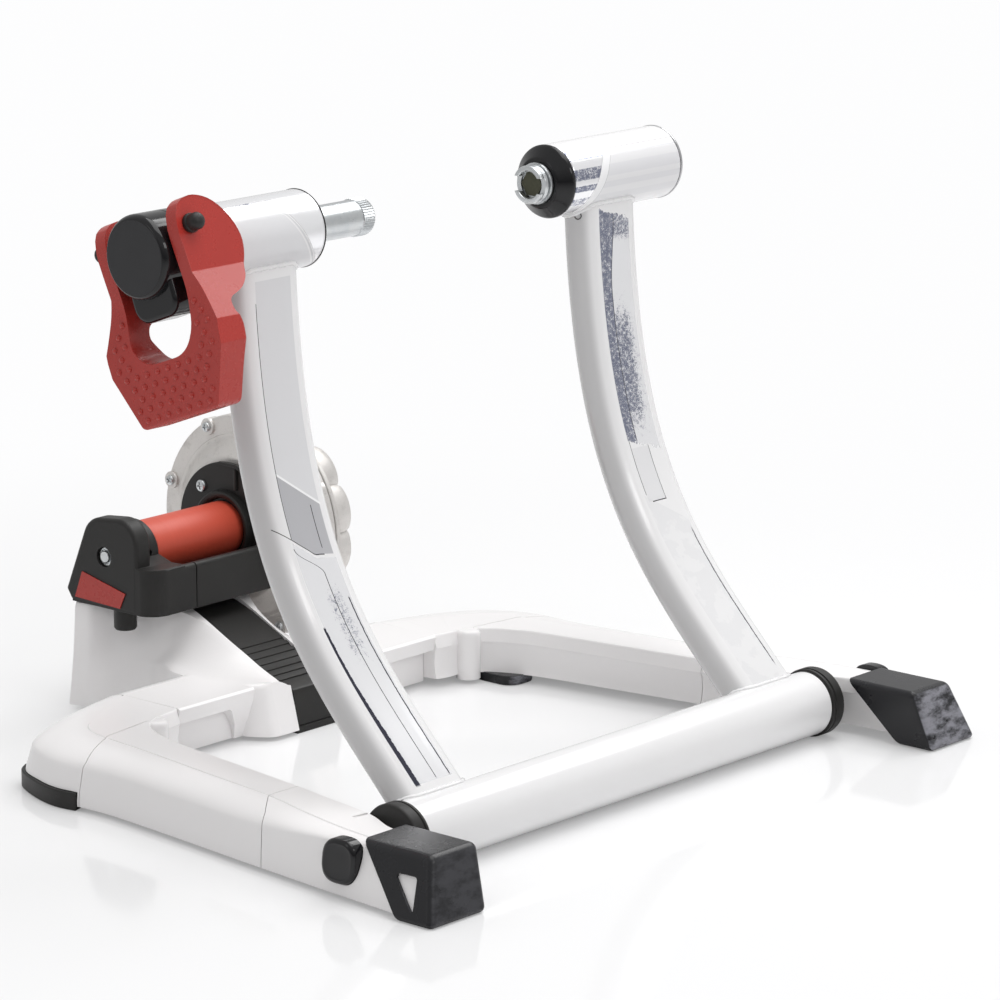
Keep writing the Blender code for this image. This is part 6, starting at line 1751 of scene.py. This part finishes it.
def build_finishes():
    for paint, nodes in HIDDEN_FINISHES:
        for obj in bpy.data.objects:
            if obj.type == "MESH" and obj.name in nodes:
                obj.data.materials.clear()
                obj.data.materials.append(painted(paint))


# Stage


def build_world():
    """Even light from above that is darker towards the camera's side, and a white backdrop."""
    world = bpy.data.worlds.new("studio")
    world.use_nodes = True
    bpy.context.scene.world = world
    tree = world.node_tree
    backdrop = tree.nodes["Background"]
    backdrop.inputs["Color"].default_value = (1.0, 1.0, 1.0, 1.0)

    def step(kind, first, second=None, clamp=False):
        node = tree.nodes.new("ShaderNodeMath")
        node.operation = kind
        node.use_clamp = clamp
        for socket, value in zip(node.inputs, (first, second)):
            if isinstance(value, (int, float)):
                socket.default_value = value
            elif value is not None:
                tree.links.new(value, socket)
        return node.outputs[0]

    coords = tree.nodes.new("ShaderNodeTexCoord")
    split = tree.nodes.new("ShaderNodeSeparateXYZ")
    tree.links.new(coords.outputs["Generated"], split.inputs[0])
    x, y, z = split.outputs
    front = step("ADD", step("MULTIPLY", x, -0.751), step("MULTIPLY", y, -0.660))
    dark = step("MULTIPLY", step("SUBTRACT", front, 0.25), 1.6, clamp=True)
    low = step("SUBTRACT", 1.0, step("MULTIPLY", z, 1.8, clamp=True), clamp=True)
    shadow = step("MULTIPLY", dark, low)
    light = bpy.context.scene.trainer_stage.world_light
    glow = step("MULTIPLY", step("SUBTRACT", 1.0, step("MULTIPLY", shadow, 0.80)), light)
    rays = tree.nodes.new("ShaderNodeLightPath")
    seen = step("MAXIMUM", rays.outputs["Is Camera Ray"], rays.outputs["Is Transmission Ray"])
    strength = step("ADD", step("MULTIPLY", glow, step("SUBTRACT", 1.0, seen)), seen)
    tree.links.new(strength, backdrop.inputs["Strength"])


def add_lamp(name, place, size, power, target=(0.0, 0.0, 0.15)):
    bpy.ops.object.light_add(type="AREA", location=place)
    lamp = bpy.context.active_object
    lamp.name = name
    lamp.data.shape = "RECTANGLE"
    lamp.data.size, lamp.data.size_y = size
    lamp.data.energy = power
    way = Vector(target) - Vector(place)
    lamp.rotation_euler = way.to_track_quat("-Z", "Y").to_euler()
    return lamp


def build_stage():
    deselect()
    bpy.ops.mesh.primitive_grid_add(x_subdivisions=2, y_subdivisions=2, size=14.0,
                                    location=(0.0, 0.0, -0.0002))
    floor = bpy.context.active_object
    floor.name = "studio_floor"
    bpy.ops.object.transform_apply(location=True, rotation=True, scale=True)
    floor.data.materials.append(painted("studio_floor"))
    build_world()
    key = bpy.context.scene.trainer_stage.key_light
    add_lamp("top_softbox", (0.25, -0.25, 2.1), (2.0, 1.3), key)
    add_lamp("right_softbox", (1.60, 0.0, 1.85), (1.5, 0.7), key * 0.62)
    add_lamp("front_softbox", (-0.2, -2.3, 1.7), (1.3, 0.6), key * 0.42)
    add_lamp("left_softbox", (-2.2, 0.6, 1.3), (0.5, 1.2), key * 0.08)
    bpy.context.scene.view_settings.view_transform = "Standard"


def build_camera():
    """The camera stands where the photograph was taken from."""
    stage = bpy.context.scene.trainer_stage
    away = Vector((-0.7315, -0.6424, 0.2285)).normalized()
    target = Vector(stage.target)
    deselect()
    bpy.ops.object.camera_add(location=target + away * stage.distance)
    camera = bpy.context.active_object
    camera.name = "photo_camera"
    camera.rotation_euler = (-away).to_track_quat("-Z", "Y").to_euler()
    camera.data.lens = stage.lens
    camera.data.sensor_width = 36.0
    camera.data.clip_end = 50.0
    bpy.context.scene.camera = camera


# Sizes and colours that a user would change


class TrainerColours(PropertyGroup):
    white_plastic: FloatVectorProperty(
        name="White plastic", description="Colour of the moulded base", subtype="COLOR",
        default=(0.90, 0.885, 0.885), min=0.0, max=1.0)
    white_paint: FloatVectorProperty(
        name="White paint", description="Colour of the painted tubes", subtype="COLOR",
        default=(0.82, 0.815, 0.82), min=0.0, max=1.0)
    black_plastic: FloatVectorProperty(
        name="Black plastic", description="Colour of the casings and the ramp", subtype="COLOR",
        default=(0.012, 0.0115, 0.011), min=0.0, max=1.0)
    gloss_black: FloatVectorProperty(
        name="Polished black", description="Colour of the head, ring and plugs", subtype="COLOR",
        default=(0.006, 0.006, 0.007), min=0.0, max=1.0)
    soft_black: FloatVectorProperty(
        name="Boot black", description="Colour of the boots and pads", subtype="COLOR",
        default=(0.014, 0.014, 0.016), min=0.0, max=1.0)
    lever_red: FloatVectorProperty(
        name="Lever red", description="Colour of the clamp lever", subtype="COLOR",
        default=(0.44, 0.036, 0.027), min=0.0, max=1.0)
    roller_red: FloatVectorProperty(
        name="Roller red", description="Colour of the roller's skin", subtype="COLOR",
        default=(0.64, 0.085, 0.046), min=0.0, max=1.0)
    zinc: FloatVectorProperty(
        name="Zinc", description="Colour of the plated steel", subtype="COLOR",
        default=(0.72, 0.73, 0.72), min=0.0, max=1.0)
    steel: FloatVectorProperty(
        name="Steel", description="Colour of the ground steel", subtype="COLOR",
        default=(0.58, 0.58, 0.59), min=0.0, max=1.0)
    cast_grey: FloatVectorProperty(
        name="Cast grey", description="Colour of the brake's casting", subtype="COLOR",
        default=(0.78, 0.755, 0.73), min=0.0, max=1.0)


class TrainerStage(PropertyGroup):
    world_light: FloatProperty(
        name="World light", description="Strength of the even light round the trainer",
        default=0.62, min=0.0, max=2.0)
    key_light: FloatProperty(
        name="Lamp power", description="Power of the softbox overhead; the others follow it",
        default=22.0, min=0.0, max=500.0, unit="POWER")
    distance: FloatProperty(
        name="Camera distance", description="From the camera to the point it looks at",
        default=3.187, min=0.5, max=10.0, unit="LENGTH")
    lens: FloatProperty(
        name="Lens", description="Focal length of the camera in millimetres",
        default=167.6, min=20.0, max=400.0)
    target: FloatVectorProperty(
        name="Target", description="The point that the camera looks at", subtype="XYZ",
        unit="LENGTH", default=(0.104, -0.00185, 0.153))


# Operators, one for each group of pieces


def run(*builds):
    """Build pieces; an error in any of them stops the operator."""
    for build in builds:
        build()
    return {"FINISHED"}


class TRAINER_OT_tube(Operator):
    """Cross tube, both uprights and their welds"""
    bl_idname = "trainer.tube_and_uprights"
    bl_label = "Tube and uprights"

    def execute(self, context):
        return run(build_tube_and_uprights)


class TRAINER_OT_housings(Operator):
    """Axle housings with their bands and the cap"""
    bl_idname = "trainer.axle_housings"
    bl_label = "Axle housings"

    def execute(self, context):
        return run(build_housings)


class TRAINER_OT_head(Operator):
    """Black clamp head with its lug"""
    bl_idname = "trainer.clamp_head"
    bl_label = "Clamp head"

    def execute(self, context):
        return run(build_clamp_head)


class TRAINER_OT_lever(Operator):
    """Red lever with studs, its pin and the pin's knobs"""
    bl_idname = "trainer.lever"
    bl_label = "Lever"

    def execute(self, context):
        return run(build_lever)


class TRAINER_OT_plunger(Operator):
    """Plunger with its knurled cup"""
    bl_idname = "trainer.plunger"
    bl_label = "Plunger"

    def execute(self, context):
        return run(build_plunger)


class TRAINER_OT_adjuster(Operator):
    """Lock ring, collar and notched cup"""
    bl_idname = "trainer.adjuster"
    bl_label = "Adjuster"

    def execute(self, context):
        return run(build_adjuster)


class TRAINER_OT_rails(Operator):
    """Front legs, leg sleeves and rear corners"""
    bl_idname = "trainer.side_rails"
    bl_label = "Side rails"

    def execute(self, context):
        return run(build_rails)


class TRAINER_OT_boots(Operator):
    """Boots, corner strips, pads, plugs and bushings"""
    bl_idname = "trainer.boots_and_trim"
    bl_label = "Boots and trim"

    def execute(self, context):
        return run(build_boots_and_trim)


class TRAINER_OT_bridge(Operator):
    """Rear bridge with its hump"""
    bl_idname = "trainer.bridge"
    bl_label = "Bridge"

    def execute(self, context):
        return run(build_bridge)


class TRAINER_OT_ramp(Operator):
    """Ribbed ramp"""
    bl_idname = "trainer.ramp"
    bl_label = "Ramp"

    def execute(self, context):
        return run(build_ramp)


class TRAINER_OT_roller(Operator):
    """Red roller"""
    bl_idname = "trainer.roller"
    bl_label = "Roller"

    def execute(self, context):
        return run(build_roller)


class TRAINER_OT_end_casing(Operator):
    """End casing with its bolt, peg and plain red patch"""
    bl_idname = "trainer.end_casing"
    bl_label = "End casing"

    def execute(self, context):
        return run(build_end_casing)


class TRAINER_OT_roller_casing(Operator):
    """Roller casing with its backing plate"""
    bl_idname = "trainer.roller_casing"
    bl_label = "Roller casing"

    def execute(self, context):
        return run(build_roller_casing)


class TRAINER_OT_flange(Operator):
    """Cast flange of the brake"""
    bl_idname = "trainer.brake_flange"
    bl_label = "Brake flange"

    def execute(self, context):
        return run(build_flange)


class TRAINER_OT_cover(Operator):
    """Lobed cover of the brake"""
    bl_idname = "trainer.brake_cover"
    bl_label = "Brake cover"

    def execute(self, context):
        return run(build_cover)


class TRAINER_OT_screws(Operator):
    """Screws of the flange and of the casing"""
    bl_idname = "trainer.screws"
    bl_label = "Screws"

    def execute(self, context):
        return run(build_screws)


class TRAINER_OT_finishes(Operator):
    """Finishes of the hidden pieces"""
    bl_idname = "trainer.hidden_finishes"
    bl_label = "Hidden finishes"

    def execute(self, context):
        return run(build_finishes)


class TRAINER_OT_stage(Operator):
    """Floor, lights and camera"""
    bl_idname = "trainer.stage"
    bl_label = "Stage"

    def execute(self, context):
        return run(build_stage, build_camera)


PIECES = (TRAINER_OT_tube, TRAINER_OT_housings, TRAINER_OT_head, TRAINER_OT_lever,
          TRAINER_OT_plunger, TRAINER_OT_adjuster, TRAINER_OT_rails, TRAINER_OT_boots,
          TRAINER_OT_bridge, TRAINER_OT_ramp, TRAINER_OT_roller, TRAINER_OT_end_casing,
          TRAINER_OT_roller_casing, TRAINER_OT_flange, TRAINER_OT_cover, TRAINER_OT_screws,
          TRAINER_OT_finishes, TRAINER_OT_stage)


class TRAINER_PT_panel(Panel):
    """Pieces, colours and stage of the trainer"""
    bl_idname = "TRAINER_PT_panel"
    bl_label = "Fluid bike trainer"
    bl_space_type = "VIEW_3D"
    bl_region_type = "UI"
    bl_category = "Trainer"

    def draw(self, context):
        layout = self.layout
        for group in (context.scene.trainer_colours, context.scene.trainer_stage):
            for key in group.__annotations__:
                layout.prop(group, key)
        for piece in PIECES:
            layout.operator(piece.bl_idname)


CLASSES = (TrainerColours, TrainerStage, *PIECES, TRAINER_PT_panel)


def register():
    for cls in CLASSES:
        bpy.utils.register_class(cls)
    bpy.types.Scene.trainer_colours = PointerProperty(type=TrainerColours)
    bpy.types.Scene.trainer_stage = PointerProperty(type=TrainerStage)


def unregister():
    del bpy.types.Scene.trainer_stage
    del bpy.types.Scene.trainer_colours
    for cls in reversed(CLASSES):
        bpy.utils.unregister_class(cls)


def main():
    register()
    for piece in PIECES:
        group, name = piece.bl_idname.split(".")
        getattr(getattr(bpy.ops, group), name)()


if __name__ == "__main__":
    main()
